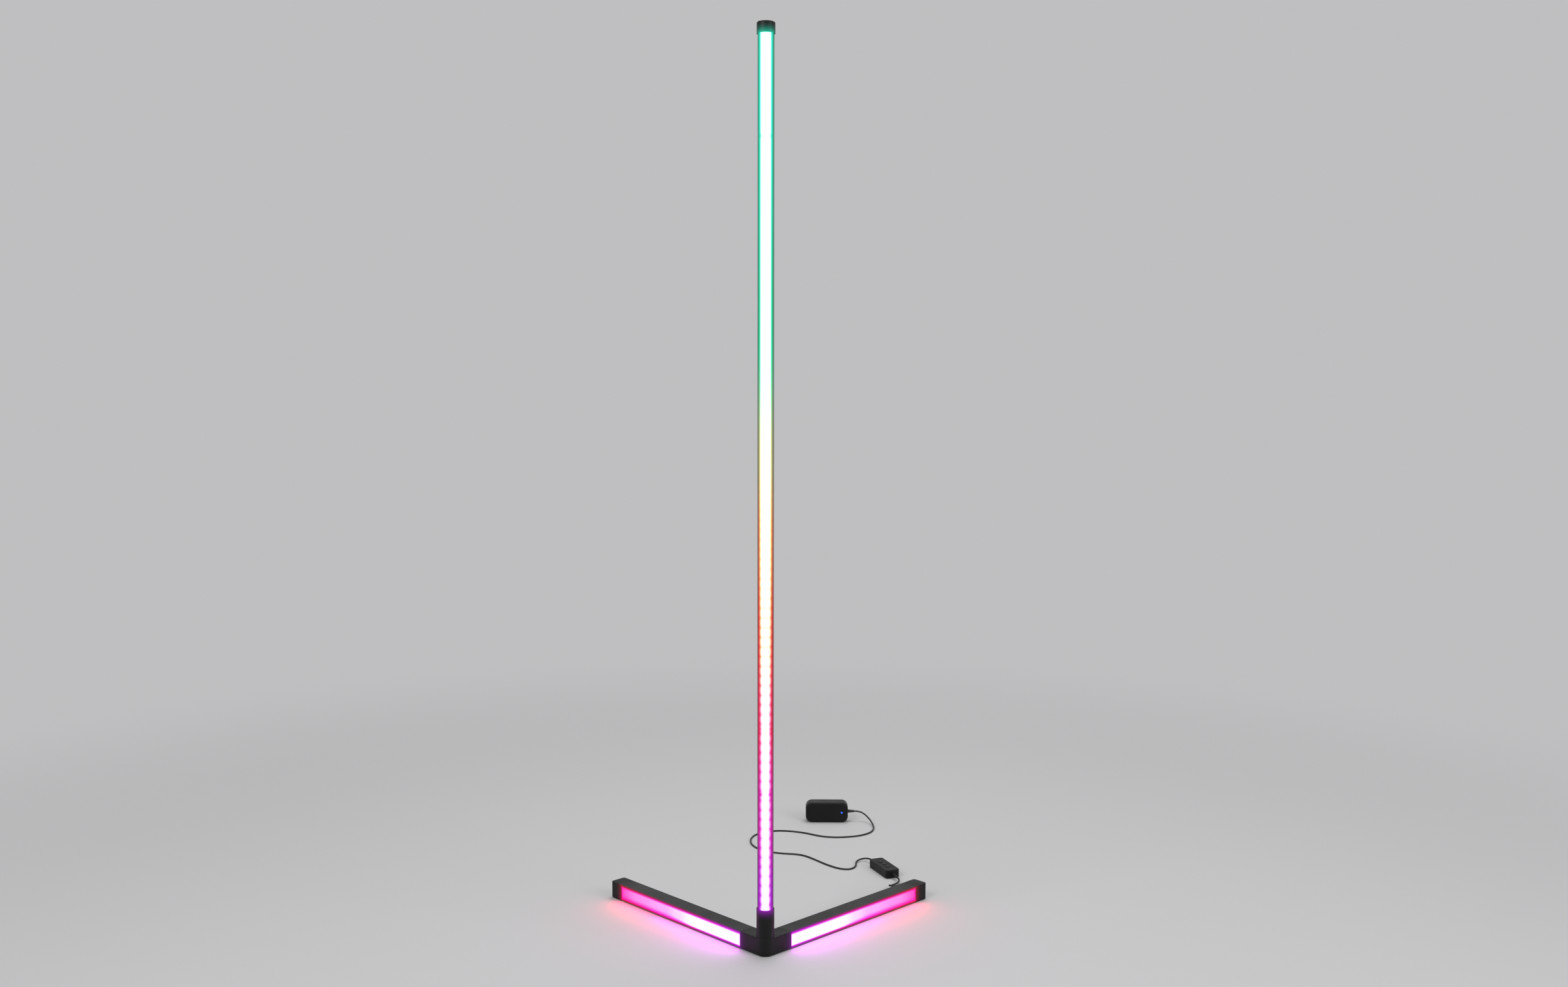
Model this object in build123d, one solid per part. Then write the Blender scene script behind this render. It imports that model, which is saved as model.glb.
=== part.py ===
from build123d import *
import math
import os

os.makedirs("parts", exist_ok=True)

# LED corner floor lamp, millimetres, +Z up. The origin is the pole's axis on the floor.
# The apex of the V-shaped base points to -Y, and its two legs run back to the right and to the left.

# Whole lamp
LAMP_HEIGHT = 1588.0          # floor to the top of the cap
LEG_TURN = 45.0               # right leg from +X, so that the legs stand at a right angle
FOOT_THICKNESS = 1.0          # rubber pads under the hub and the end caps
LED_PITCH = 1000.0 / 60.0     # 60 LEDs a metre
LED_SIZE = 5.0
LED_HEIGHT = 1.6
STRIP_WIDTH = 10.0
STRIP_THICKNESS = 0.5
RIBBON_WIDTH = 5.0            # flat wires from the junction board to the strips
RIBBON_THICKNESS = 1.2
RIBBON_LAP = 4.0              # length soldered on the end of a strip
CUT = 1.0                     # how far a cut runs past the face that it opens
EDGE_REACH = 1.0              # an edge nearer than this to a face's middle belongs to it

# Bars of the base
BAR_HEIGHT = 30.6
BAR_DEPTH = 32.0
BAR_WALL = 1.6
BAR_EDGE_RADIUS = 1.0
BAR_SEAT_DEPTH = 15.0         # lit face to the seat of the LED strip
BAR_WEB = 1.6
LIT_LENGTH = 334.0
LIT_HEIGHT = 23.6
DIFFUSER_FLANGE = 1.6
DIFFUSER_RECESS = 0.2
DIFFUSER_FIT = 0.2
DIFFUSER_END_GAP = 0.3

# Corner hub
HUB_ARM = 48.0                # pole axis to the start of a bar
HUB_WALL = 2.0
HUB_ROOF = 2.6
HUB_CROTCH_RADIUS = 5.0
COVER_THICKNESS = 2.0
COVER_FIT = 0.2
COVER_BOSS_DIAMETER = 7.0
COVER_SCREW_ALONG = 32.0      # along the leg, from the pole axis
COVER_SCREW_ACROSS = -7.6     # across the leg, toward its lit side
HUB_FOOT_DIAMETER = 24.0

# Corner bracket, bent from flat steel, and the screws that hold the frame together
BRACKET_THICKNESS = 3.0
BRACKET_HEIGHT = 20.0
BRACKET_REACH = 60.0          # length inside a bar
BRACKET_FIT = 0.1
HUB_SCREW_INSET = 12.0        # from the end of the hub's arm
BAR_SCREW_FIRST = 18.0        # from the start of the bar
BAR_SCREW_SECOND = 46.0
SCREW_DIAMETER = 3.0
SCREW_LENGTH = 5.0
SCREW_HEAD_DIAMETER = 5.5
SCREW_HEAD_HEIGHT = 1.8
SCREW_HEAD_ROUNDING = 0.6     # share of the head's height
SCREW_SOCKET = 2.0            # across the corners of the hexagon
SCREW_SOCKET_DEPTH = 1.0
SCREW_FIT = 0.1

# Countersunk screws of the covers
SMALL_SCREW_DIAMETER = 2.6
SMALL_SCREW_LENGTH = 8.0
SMALL_HOLE_SPARE = 1.0        # depth of the hole past the end of the screw
SMALL_HEAD_DIAMETER = 5.0
SMALL_HEAD_HEIGHT = 1.4
SMALL_RECESS_LENGTH = 2.8     # cross recess in the head
SMALL_RECESS_WIDTH = 0.7
SMALL_RECESS_DEPTH = 0.9

# End caps of the bars
END_CAP_LENGTH = 32.0
END_CAP_WALL = 2.2
END_CAP_RADIUS = 5.0
TONGUE_LENGTH = 14.0
TONGUE_WALL = 1.6
TONGUE_FIT = 0.15
END_SCREW_INSET = 7.0         # from the end of the bar
END_FOOT_MARGIN = 1.0

# Feed from the jack in the right end cap
FEED_DIAMETER = 3.0
FEED_ACROSS = 5.0
FEED_HOLE_FIT = 0.8
JACK_INSET = 15.0             # from the far end of the leg
JACK_DROP = 5.0               # below the middle of the bar
JACK_BODY_LENGTH = 10.0
JACK_BODY_HEIGHT = 9.0
JACK_BODY_DEPTH = 11.0
JACK_NOSE_DIAMETER = 8.0
JACK_BORE_DIAMETER = 5.7
JACK_PIN_DIAMETER = 2.0
JACK_PIN_RECESS = 1.0
JACK_BORE_SPARE = 1.0         # depth of the bore past the end of the plug
JACK_FIT = 0.1

# Pole
POLE_DIAMETER = 28.0
POLE_WALL = 1.6
POLE_WINDOW = 22.0            # chord of the lit opening
POLE_LIP = 0.5                # how far each lip reaches over the chamber
POLE_SEAT = 1.0               # seat of the LED strip in front of the axis
POLE_WEB = 1.8
POLE_DIFFUSER_WALL = 1.9
POLE_DIFFUSER_LEG = 1.5
POLE_DIFFUSER_HOOK = 1.6
POLE_DIFFUSER_FIT = 0.15
POLE_DIFFUSER_RECESS = 0.1
POLE_FIT = 0.1
STRIP_TOP_GAP = 9.2           # end of the strip below the end of the channel
STRIP_TUCK = 6.8              # start of the strip below the top of the socket

# Pole socket and its fixing
SOCKET_DIAMETER = 31.0
SOCKET_HEIGHT = 50.4
SOCKET_EDGE_RADIUS = 0.6
SOCKET_FLOOR = 3.4
SPIGOT_DIAMETER = 14.0
SPIGOT_BORE = 8.0
SPIGOT_TAIL = 2.8             # below the nut
SPIGOT_FIT = 0.15
WASHER_DIAMETER = 24.0
WASHER_THICKNESS = 1.2
NUT_ACROSS_CORNERS = 19.6
NUT_HEIGHT = 5.0
POLE_SCREW_DROP = 24.0        # below the top of the socket

# Top cap
CAP_DIAMETER = 31.2
CAP_HEIGHT = 19.4
CAP_ROOF = 3.0
CAP_EDGE_RADIUS = 2.6

# Junction board in the hub
BOARD_LENGTH = 20.0
BOARD_WIDTH = 18.0
BOARD_MIDDLE_Y = 3.0
BOARD_THICKNESS = 1.6
BOARD_PILLAR_DIAMETER = 4.0
BOARD_PIN_DIAMETER = 2.0
BOARD_PIN_HEIGHT = 0.8
BOARD_PILLAR_X = 7.0
BOARD_PILLAR_Y = -2.6
WIRE_START = 8.0              # along the leg, where the wires lie on the board

# In-line controller on the floor
CONTROLLER_X = 231.0
CONTROLLER_Y = 435.0
CONTROLLER_TURN = -67.0
CONTROLLER_LENGTH = 80.0
CONTROLLER_WIDTH = 30.0
CONTROLLER_HEIGHT = 17.0
CONTROLLER_SPLIT = 7.5
CONTROLLER_WALL = 1.8
CONTROLLER_CORNER = 5.0
CONTROLLER_EDGE = 1.4
CASE_SEAM = 0.4               # chamfer along the seam of a two-part case
CONTROLLER_BOARD_LENGTH = 58.0
CONTROLLER_BOARD_WIDTH = 22.0
CONTROLLER_BOARD_LIFT = 4.2   # posts under the board
CONTROLLER_POST_DIAMETER = 4.0
CONTROLLER_POST_INSET = 4.0
CONTROLLER_SCREW_INSET = 6.0  # from each end of the case
CONTROLLER_SCREW_POST = 6.0
BUTTON_DIAMETER = 8.0
BUTTON_SPACING = 16.0
BUTTON_RISE = 1.2             # above the case
BUTTON_ROUNDING = 0.5         # share of the rise
BUTTON_FLANGE_DIAMETER = 10.6
BUTTON_FLANGE = 1.0
BUTTON_STEM_DIAMETER = 3.0
BUTTON_TRAVEL = 0.8
BUTTON_GAP = 0.3
BUTTON_STOP_GAP = 0.05
SWITCH_SIZE = 6.0
SWITCH_HEIGHT = 3.6
SWITCH_BORE_DEPTH = 2.2
RELIEF_DIAMETER = 8.0
RELIEF_TIP_DIAMETER = 5.0
RELIEF_LENGTH = 16.0
RELIEF_GROOVES = 4
RELIEF_GROOVE_WIDTH = 1.3
RELIEF_GROOVE_DEPTH = 0.5

# Leads
LEAD_DIAMETER = 3.5
LEAD_CLEAR = 0.05             # least height of a lead above the floor
LEAD_ARC_SHARE = 0.45         # share of a run that an arc takes at each of its ends
LEAD_START = 11.0             # straight run out of the adapter and into the controller
LAMP_LEAD_START = 10.0        # straight run out of the controller
PLUG_LEAD_START = 9.0         # straight run into the plug
PLUG_DIAMETER = 9.0
PLUG_LENGTH = 18.0
PLUG_BOOT_LENGTH = 12.0
PLUG_TIP_DIAMETER = 5.0
PLUG_BARREL_DIAMETER = 5.5
PLUG_BARREL_LENGTH = 9.0
PLUG_BARREL_BORE = 2.4

# Plug-in adapter, laid on its side on the floor
ADAPTER_X = 120.5
ADAPTER_Y = 784.0
ADAPTER_LENGTH = 95.0
ADAPTER_WIDTH = 46.0
ADAPTER_DEPTH = 28.0
ADAPTER_FRONT = 16.0          # depth of the front half
ADAPTER_WALL = 2.0
ADAPTER_CORNER = 14.0
ADAPTER_EDGE = 5.0
ADAPTER_BACK_EDGE = 1.6
NOSE_INSET = 18.0             # plug axis from the far end
NOSE_WIDTH = 34.0
NOSE_HEIGHT = 14.0
NOSE_LENGTH = 18.0
NOSE_TAPER = 4.0
NOSE_ROUNDING = 0.4           # share of the nose's height
PIN_DIAMETER = 4.0
PIN_SPACING = 18.6
PIN_LENGTH = 19.0
PIN_ROOT = 10.0               # length held inside the nose
PIN_ROOT_DIAMETER = 3.0
PIN_FIT = 0.05
PIN_ROUNDING = 0.3            # share of the pin's diameter
INDICATOR_DIAMETER = 4.0
INDICATOR_RISE = 0.4
INDICATOR_ROUNDING = 0.9      # share of the rise
INDICATOR_INSET = 14.0        # from the end with the lead
INDICATOR_FIT = 0.1
ADAPTER_BOARD_MARGIN = 3.5
ADAPTER_POST_DIAMETER = 5.0   # posts behind the board
ADAPTER_POST_INSET = 6.0      # from the board's edges
TRANSFORMER_LENGTH = 26.0
TRANSFORMER_HEIGHT = 22.0
TRANSFORMER_GAP = 1.0         # behind the front wall
BOOT_DIAMETER = 8.0
BOOT_TIP_DIAMETER = 5.4
BOOT_LENGTH = 14.0

# Sizes that follow from the ones above
bar_mid = FOOT_THICKNESS + BAR_HEIGHT / 2
hub_top = FOOT_THICKNESS + BAR_HEIGHT
bar_end = HUB_ARM + LIT_LENGTH
leg_end = bar_end + END_CAP_LENGTH
bar_half = BAR_DEPTH / 2
bar_inside = bar_half - BAR_WALL
bar_inner_height = BAR_HEIGHT - 2 * BAR_WALL
bar_seat = -bar_half + BAR_SEAT_DEPTH
bar_web_back = bar_seat + BAR_WEB
hub_inside = bar_half - HUB_WALL
socket_top = hub_top + SOCKET_HEIGHT
cap_bottom = LAMP_HEIGHT - CAP_HEIGHT
pole_bottom = hub_top + SOCKET_FLOOR
pole_top = LAMP_HEIGHT - CAP_ROOF
pole_radius = POLE_DIAMETER / 2
pole_inside = pole_radius - POLE_WALL
board_top = bar_mid - RIBBON_WIDTH / 2
board_bottom = board_top - BOARD_THICKNESS
bracket_outer = hub_inside - BRACKET_FIT
bracket_inner = bracket_outer - BRACKET_THICKNESS
hole_radius = SCREW_DIAMETER / 2 + SCREW_FIT
small_hole_radius = SMALL_SCREW_DIAMETER / 2 + SCREW_FIT
lead_height = LEAD_DIAMETER / 2 + LEAD_CLEAR


def block(x0, x1, y0, y1, z0, z1):
    """A box between two corners."""
    return Pos((x0 + x1) / 2, (y0 + y1) / 2, (z0 + z1) / 2) * Box(x1 - x0, y1 - y0, z1 - z0)


def rect(x0, x1, y0, y1):
    """A rectangle between two corners of a sketch."""
    return Pos((x0 + x1) / 2, (y0 + y1) / 2) * Rectangle(x1 - x0, y1 - y0)


def rod(radius, z0, z1, x=0.0, y=0.0):
    """An upright cylinder."""
    return Pos(x, y, (z0 + z1) / 2) * Cylinder(radius, z1 - z0)


def rod_x(radius, x0, x1, y=0.0, z=0.0):
    """A cylinder along X."""
    return Pos((x0 + x1) / 2, y, z) * Rot(0, 90, 0) * Cylinder(radius, x1 - x0)


def rod_y(radius, y0, y1, x=0.0, z=0.0):
    """A cylinder along Y."""
    return Pos(x, (y0 + y1) / 2, z) * Rot(-90, 0, 0) * Cylinder(radius, y1 - y0)


def right_leg(part):
    """Turns a piece drawn along +X, lit side to -Y, into the right leg."""
    return Rot(0, 0, LEG_TURN) * part


def left_leg(part):
    """The left leg is the mirror image of the right one."""
    return mirror(right_leg(part), about=Plane.YZ)


def group(pieces):
    """Several separate solids kept as one node."""
    solids = []
    for piece in pieces:
        solids.extend(piece.solids())
    return Compound(children=solids)


def save(name, piece):
    export_step(piece, os.path.join("parts", name + ".step"))


def leg_point(along, across):
    """A point of the right leg in plan, across being positive on its inner side."""
    turn = math.radians(LEG_TURN)
    x = along * math.cos(turn) - across * math.sin(turn)
    y = along * math.sin(turn) + across * math.cos(turn)
    return (x, y)


def mirrored(point):
    return (-point[0], point[1])


# Screws

def frame_screw():
    """Button-head screw, its shank down from z = 0 and its head above."""
    head = rod(SCREW_HEAD_DIAMETER / 2, 0, SCREW_HEAD_HEIGHT)
    head = fillet(head.edges().group_by(Axis.Z)[-1], SCREW_HEAD_HEIGHT * SCREW_HEAD_ROUNDING)
    socket = extrude(RegularPolygon(SCREW_SOCKET / 2, 6), SCREW_SOCKET_DEPTH)
    head -= Pos(0, 0, SCREW_HEAD_HEIGHT - SCREW_SOCKET_DEPTH) * socket
    return head + rod(SCREW_DIAMETER / 2, -SCREW_LENGTH, 0)


def small_screw():
    """Countersunk screw, its flat head at z = 0 and its shank up."""
    cone = Cone(SMALL_HEAD_DIAMETER / 2, SMALL_SCREW_DIAMETER / 2, SMALL_HEAD_HEIGHT)
    screw = Pos(0, 0, SMALL_HEAD_HEIGHT / 2) * cone
    screw += rod(SMALL_SCREW_DIAMETER / 2, SMALL_HEAD_HEIGHT, SMALL_SCREW_LENGTH)
    slot = Box(SMALL_RECESS_LENGTH, SMALL_RECESS_WIDTH, SMALL_RECESS_DEPTH)
    recess = Pos(0, 0, SMALL_RECESS_DEPTH / 2) * slot
    return screw - recess - Rot(0, 0, 90) * recess


def small_screw_hole(depth):
    """Room for a countersunk screw, from its flat head up."""
    head = Pos(0, 0, SMALL_HEAD_HEIGHT / 2) * Cone(
        SMALL_HEAD_DIAMETER / 2 + SCREW_FIT, SMALL_SCREW_DIAMETER / 2 + SCREW_FIT, SMALL_HEAD_HEIGHT)
    return head + rod(small_hole_radius, SMALL_HEAD_HEIGHT, depth)


# Bars of the base, drawn along +X with the lit side to -Y

bar_screw_places = [HUB_ARM + BAR_SCREW_FIRST, HUB_ARM + BAR_SCREW_SECOND]
hub_screw_place = HUB_ARM - HUB_SCREW_INSET
end_screw_place = bar_end - END_SCREW_INSET


def bar_run(section, x0, x1):
    """Draws a section, across and up, out along a bar."""
    return Pos(x0, 0, bar_mid) * extrude(Plane.YZ * section, x1 - x0)


def bar_channel():
    section = RectangleRounded(BAR_DEPTH, BAR_HEIGHT, BAR_EDGE_RADIUS)
    section -= rect(bar_web_back, bar_inside, -bar_inner_height / 2, bar_inner_height / 2)
    section -= rect(-bar_inside, bar_seat, -bar_inner_height / 2, bar_inner_height / 2)
    section -= rect(-bar_half - CUT, -bar_inside, -LIT_HEIGHT / 2, LIT_HEIGHT / 2)
    channel = bar_run(section, HUB_ARM, bar_end)
    for place in bar_screw_places + [end_screw_place]:
        channel -= rod_y(hole_radius, bar_web_back + CUT, bar_half + CUT, place, bar_mid)
    return channel


def bar_diffuser():
    face = LIT_HEIGHT / 2 - DIFFUSER_FIT
    flange = bar_inner_height / 2 - DIFFUSER_FIT
    flange_front = -bar_inside + DIFFUSER_FIT / 2
    section = rect(-bar_half + DIFFUSER_RECESS, flange_front + DIFFUSER_FLANGE, -face, face)
    section += rect(flange_front, flange_front + DIFFUSER_FLANGE, -flange, flange)
    return bar_run(section, HUB_ARM + DIFFUSER_END_GAP, bar_end - DIFFUSER_END_GAP)


bar_led_count = int(LIT_LENGTH / LED_PITCH)
bar_strip_start = HUB_ARM + (LIT_LENGTH - bar_led_count * LED_PITCH) / 2


def bar_strip():
    section = rect(bar_seat - STRIP_THICKNESS, bar_seat, -STRIP_WIDTH / 2, STRIP_WIDTH / 2)
    return bar_run(section, bar_strip_start, bar_strip_start + bar_led_count * LED_PITCH)


def bar_leds():
    leds = []
    for index in range(bar_led_count):
        middle = bar_strip_start + (index + 0.5) * LED_PITCH
        leds.append(block(middle - LED_SIZE / 2, middle + LED_SIZE / 2,
                          bar_seat - STRIP_THICKNESS - LED_HEIGHT, bar_seat - STRIP_THICKNESS,
                          bar_mid - LED_SIZE / 2, bar_mid + LED_SIZE / 2))
    return leds


def bar_wires():
    """Flat wire from the junction board to the front of the strip's first end."""
    front = bar_seat - STRIP_THICKNESS
    return block(WIRE_START, bar_strip_start + RIBBON_LAP, front - RIBBON_THICKNESS, front,
                 board_top, board_top + RIBBON_WIDTH)


jack_place = leg_end - JACK_INSET
jack_height = bar_mid - JACK_DROP
feed_height = board_top + FEED_DIAMETER / 2
foot_top = FOOT_THICKNESS


def end_cap(with_jack):
    outline = rect(bar_end, leg_end, -bar_half, bar_half)
    outline = fillet(outline.vertices().group_by(Axis.X)[-1], END_CAP_RADIUS)
    cap = Pos(0, 0, foot_top) * extrude(outline, BAR_HEIGHT)
    levels = cap.edges().group_by(Axis.Z)
    rims = levels[0].sort_by(Axis.X)[1:] + levels[-1].sort_by(Axis.X)[1:]
    cap = fillet(rims, BAR_EDGE_RADIUS)
    cap -= block(bar_end + END_CAP_WALL, leg_end - END_CAP_WALL,
                 -bar_half + END_CAP_WALL, bar_half - END_CAP_WALL,
                 foot_top - CUT, hub_top - END_CAP_WALL)
    low = bar_web_back + TONGUE_FIT
    high = bar_inside - TONGUE_FIT
    half = bar_inner_height / 2 - TONGUE_FIT
    tongue = block(bar_end - TONGUE_LENGTH, bar_end, low, high, bar_mid - half, bar_mid + half)
    tongue -= block(bar_end - TONGUE_LENGTH - CUT, bar_end, low + TONGUE_WALL, high - TONGUE_WALL,
                    bar_mid - half + TONGUE_WALL, bar_mid + half - TONGUE_WALL)
    tongue -= rod_y(hole_radius, low + TONGUE_WALL + CUT, high + CUT, end_screw_place, bar_mid)
    cap += tongue
    if with_jack:
        cap -= rod_x(FEED_DIAMETER / 2 + FEED_HOLE_FIT, bar_end - CUT, bar_end + END_CAP_WALL + CUT,
                     FEED_ACROSS, feed_height)
        cap -= rod_y(JACK_NOSE_DIAMETER / 2 + JACK_FIT, bar_half - END_CAP_WALL - CUT, bar_half + CUT,
                     jack_place, jack_height)
    return cap


def end_foot():
    """Pad that follows the outline of the end cap."""
    outline = rect(bar_end + END_FOOT_MARGIN, leg_end - END_FOOT_MARGIN,
                   -bar_half + END_FOOT_MARGIN, bar_half - END_FOOT_MARGIN)
    outline = fillet(outline.vertices().group_by(Axis.X)[-1], END_CAP_RADIUS - END_FOOT_MARGIN)
    return extrude(outline, foot_top)


def dc_jack():
    """Socket behind the inner wall of the right end cap, its bore open to the outside."""
    wall = bar_half - END_CAP_WALL
    body = block(jack_place - JACK_BODY_LENGTH / 2, jack_place + JACK_BODY_LENGTH / 2,
                 wall - JACK_BODY_DEPTH, wall,
                 jack_height - JACK_BODY_HEIGHT / 2, jack_height + JACK_BODY_HEIGHT / 2)
    body += rod_y(JACK_NOSE_DIAMETER / 2, wall, bar_half, jack_place, jack_height)
    bore_end = bar_half - PLUG_BARREL_LENGTH - JACK_BORE_SPARE
    body -= rod_y(JACK_BORE_DIAMETER / 2, bore_end, bar_half + CUT, jack_place, jack_height)
    return body + rod_y(JACK_PIN_DIAMETER / 2, bore_end, bar_half - JACK_PIN_RECESS, jack_place, jack_height)


def feed_cable():
    return rod_x(FEED_DIAMETER / 2, WIRE_START, jack_place - JACK_BODY_LENGTH / 2, FEED_ACROSS, feed_height)


# Corner hub

def hub_outline(half, reach, crotch_radius):
    """Plan of the two arms, rounded about the pole axis at the apex."""
    outer_end = leg_point(reach, -half)
    tangent = leg_point(0, -half)
    inner_end = leg_point(reach, half)
    crotch = (0, half / math.cos(math.radians(LEG_TURN)))
    lines = [
        Line(outer_end, tangent),
        ThreePointArc(tangent, (0, -half), mirrored(tangent)),
        Line(mirrored(tangent), mirrored(outer_end)),
        Line(mirrored(outer_end), mirrored(inner_end)),
        Line(mirrored(inner_end), crotch),
        Line(crotch, inner_end),
        Line(inner_end, outer_end),
    ]
    plan = Sketch() + Face(Wire(lines))
    corner = plan.vertices().sort_by_distance((crotch[0], crotch[1], 0))[0]
    return fillet(corner, crotch_radius)


def upright(plan, z0, z1):
    """A plan drawn up between two heights."""
    return Pos(0, 0, z0) * extrude(plan, z1 - z0, dir=(0, 0, 1))


cover_screw_point = leg_point(COVER_SCREW_ALONG, COVER_SCREW_ACROSS)
cover_screw_points = [cover_screw_point, mirrored(cover_screw_point)]
cover_top = FOOT_THICKNESS + COVER_THICKNESS
roof_under = hub_top - HUB_ROOF
cover_hole_top = FOOT_THICKNESS + SMALL_SCREW_LENGTH + SMALL_HOLE_SPARE


def corner_hub():
    shell = upright(hub_outline(bar_half, HUB_ARM, HUB_CROTCH_RADIUS), FOOT_THICKNESS, hub_top)
    arm_end = leg_point(HUB_ARM, 0)[0]
    levels = shell.edges().group_by(Axis.Z)
    rims = [edge for edge in levels[0] + levels[-1] if abs(abs(edge.center().X) - arm_end) > EDGE_REACH]
    shell = fillet(rims, BAR_EDGE_RADIUS)
    inside_radius = HUB_CROTCH_RADIUS + HUB_WALL
    shell -= upright(hub_outline(hub_inside, HUB_ARM + CUT, inside_radius), FOOT_THICKNESS - CUT, roof_under)
    for x, y in cover_screw_points:
        shell += rod(COVER_BOSS_DIAMETER / 2, cover_top, roof_under, x, y)
        shell -= rod(small_hole_radius, cover_top - CUT, cover_hole_top, x, y)
    shell -= rod(SPIGOT_DIAMETER / 2 + SPIGOT_FIT, roof_under - CUT, hub_top + CUT)
    hole = rod_y(hole_radius, hub_inside - CUT, bar_half + CUT, hub_screw_place, bar_mid)
    shell -= right_leg(hole)
    shell -= left_leg(hole)
    return shell


def hub_cover():
    plan = hub_outline(hub_inside - COVER_FIT, HUB_ARM - COVER_FIT, HUB_CROTCH_RADIUS + HUB_WALL)
    cover = upright(plan, FOOT_THICKNESS, cover_top)
    for x, y in cover_screw_points:
        cover -= Pos(x, y, FOOT_THICKNESS) * small_screw_hole(COVER_THICKNESS + CUT)
    for x in (-BOARD_PILLAR_X, BOARD_PILLAR_X):
        cover += rod(BOARD_PILLAR_DIAMETER / 2, cover_top, board_bottom, x, BOARD_PILLAR_Y)
        cover += rod(BOARD_PIN_DIAMETER / 2, board_bottom, board_top + BOARD_PIN_HEIGHT, x, BOARD_PILLAR_Y)
    return cover


def junction_board():
    board = block(-BOARD_LENGTH / 2, BOARD_LENGTH / 2, BOARD_MIDDLE_Y - BOARD_WIDTH / 2,
                  BOARD_MIDDLE_Y + BOARD_WIDTH / 2, board_bottom, board_top)
    pin_hole = BOARD_PIN_DIAMETER / 2 + SCREW_FIT
    for x in (-BOARD_PILLAR_X, BOARD_PILLAR_X):
        board -= rod(pin_hole, board_bottom - CUT, board_top + CUT, x, BOARD_PILLAR_Y)
    return board


def corner_bracket():
    """Flat steel bent to the angle of the legs, against the inner walls of hub and bars."""
    tilt = math.tan(math.radians(LEG_TURN))
    reach = HUB_ARM + BRACKET_REACH
    corners = [leg_point(bracket_inner * tilt, bracket_inner), leg_point(reach, bracket_inner),
               leg_point(reach, bracket_outer), leg_point(bracket_outer * tilt, bracket_outer)]
    back = [mirrored(corners[2]), mirrored(corners[1])]
    plan = make_face(Polyline(corners + back, close=True))
    bracket = upright(plan, bar_mid - BRACKET_HEIGHT / 2, bar_mid + BRACKET_HEIGHT / 2)
    for place in [hub_screw_place] + bar_screw_places:
        hole = rod_y(hole_radius, bracket_inner - CUT, bracket_outer + CUT, place, bar_mid)
        bracket -= right_leg(hole)
        bracket -= left_leg(hole)
    return bracket


def frame_screws():
    """The same screw at the hub, the bars, the end caps and the pole socket."""
    screws = []
    for place in [hub_screw_place] + bar_screw_places + [end_screw_place]:
        screw = Pos(place, bar_half, bar_mid) * Rot(-90, 0, 0) * frame_screw()
        screws.append(right_leg(screw))
        screws.append(left_leg(screw))
    screws.append(Pos(0, SOCKET_DIAMETER / 2, socket_top - POLE_SCREW_DROP) * Rot(-90, 0, 0) * frame_screw())
    return screws


# Pole and its socket

def pole_socket():
    socket = rod(SOCKET_DIAMETER / 2, hub_top, socket_top)
    socket = fillet(socket.edges().group_by(Axis.Z)[-1], SOCKET_EDGE_RADIUS)
    socket -= rod(pole_radius + POLE_FIT, pole_bottom, socket_top + CUT)
    socket += rod(SPIGOT_DIAMETER / 2, roof_under - WASHER_THICKNESS - NUT_HEIGHT - SPIGOT_TAIL, hub_top)
    socket -= rod(SPIGOT_BORE / 2, 0, pole_bottom + CUT)
    socket -= rod_y(hole_radius, 0, SOCKET_DIAMETER, 0, socket_top - POLE_SCREW_DROP)
    return socket


def socket_washer():
    ring = rod(WASHER_DIAMETER / 2, roof_under - WASHER_THICKNESS, roof_under)
    return ring - rod(SPIGOT_DIAMETER / 2 + SPIGOT_FIT, 0, hub_top)


def socket_nut():
    top = roof_under - WASHER_THICKNESS
    nut = upright(RegularPolygon(NUT_ACROSS_CORNERS / 2, 6), top - NUT_HEIGHT, top)
    return nut - rod(SPIGOT_DIAMETER / 2 + SPIGOT_FIT, 0, hub_top)


chamber_half = POLE_WINDOW / 2 + POLE_LIP
chamber_front = -math.sqrt(pole_inside ** 2 - chamber_half ** 2)


def pole_channel():
    section = Circle(pole_radius)
    section -= rect(-chamber_half, chamber_half, chamber_front, -POLE_SEAT)
    section -= rect(-POLE_WINDOW / 2, POLE_WINDOW / 2, -pole_radius - CUT, chamber_front)
    rear = Circle(pole_inside) & rect(-pole_radius, pole_radius, -POLE_SEAT + POLE_WEB, pole_radius)
    section -= rear
    channel = upright(section, pole_bottom, pole_top)
    channel -= rod_y(hole_radius, pole_inside - 2 * CUT, pole_radius + CUT, 0, socket_top - POLE_SCREW_DROP)
    return channel


def pole_diffuser():
    """Curved cover with two legs that hook behind the lips."""
    outer_radius = pole_radius - POLE_DIFFUSER_RECESS
    half = POLE_WINDOW / 2 - POLE_DIFFUSER_FIT
    hook_top = chamber_front + POLE_DIFFUSER_FIT
    hook_half = chamber_half - POLE_DIFFUSER_FIT
    leg_low = hook_top + POLE_DIFFUSER_HOOK
    front = rect(-half, half, -pole_radius, leg_low)
    shell = Circle(outer_radius) & front
    inner_half = half - POLE_DIFFUSER_LEG
    inner = Circle(outer_radius - POLE_DIFFUSER_WALL)
    inner &= rect(-inner_half, inner_half, -pole_radius, leg_low + CUT)
    section = shell - inner
    section += rect(inner_half, hook_half, hook_top, leg_low)
    section += rect(-hook_half, -inner_half, hook_top, leg_low)
    return upright(section, pole_bottom + DIFFUSER_END_GAP, pole_top - DIFFUSER_END_GAP)


pole_strip_space = (pole_top - STRIP_TOP_GAP) - (socket_top - STRIP_TUCK)
pole_led_count = int(pole_strip_space / LED_PITCH)
pole_strip_start = socket_top - STRIP_TUCK + (pole_strip_space - pole_led_count * LED_PITCH) / 2
pole_strip_front = -POLE_SEAT - STRIP_THICKNESS


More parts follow.
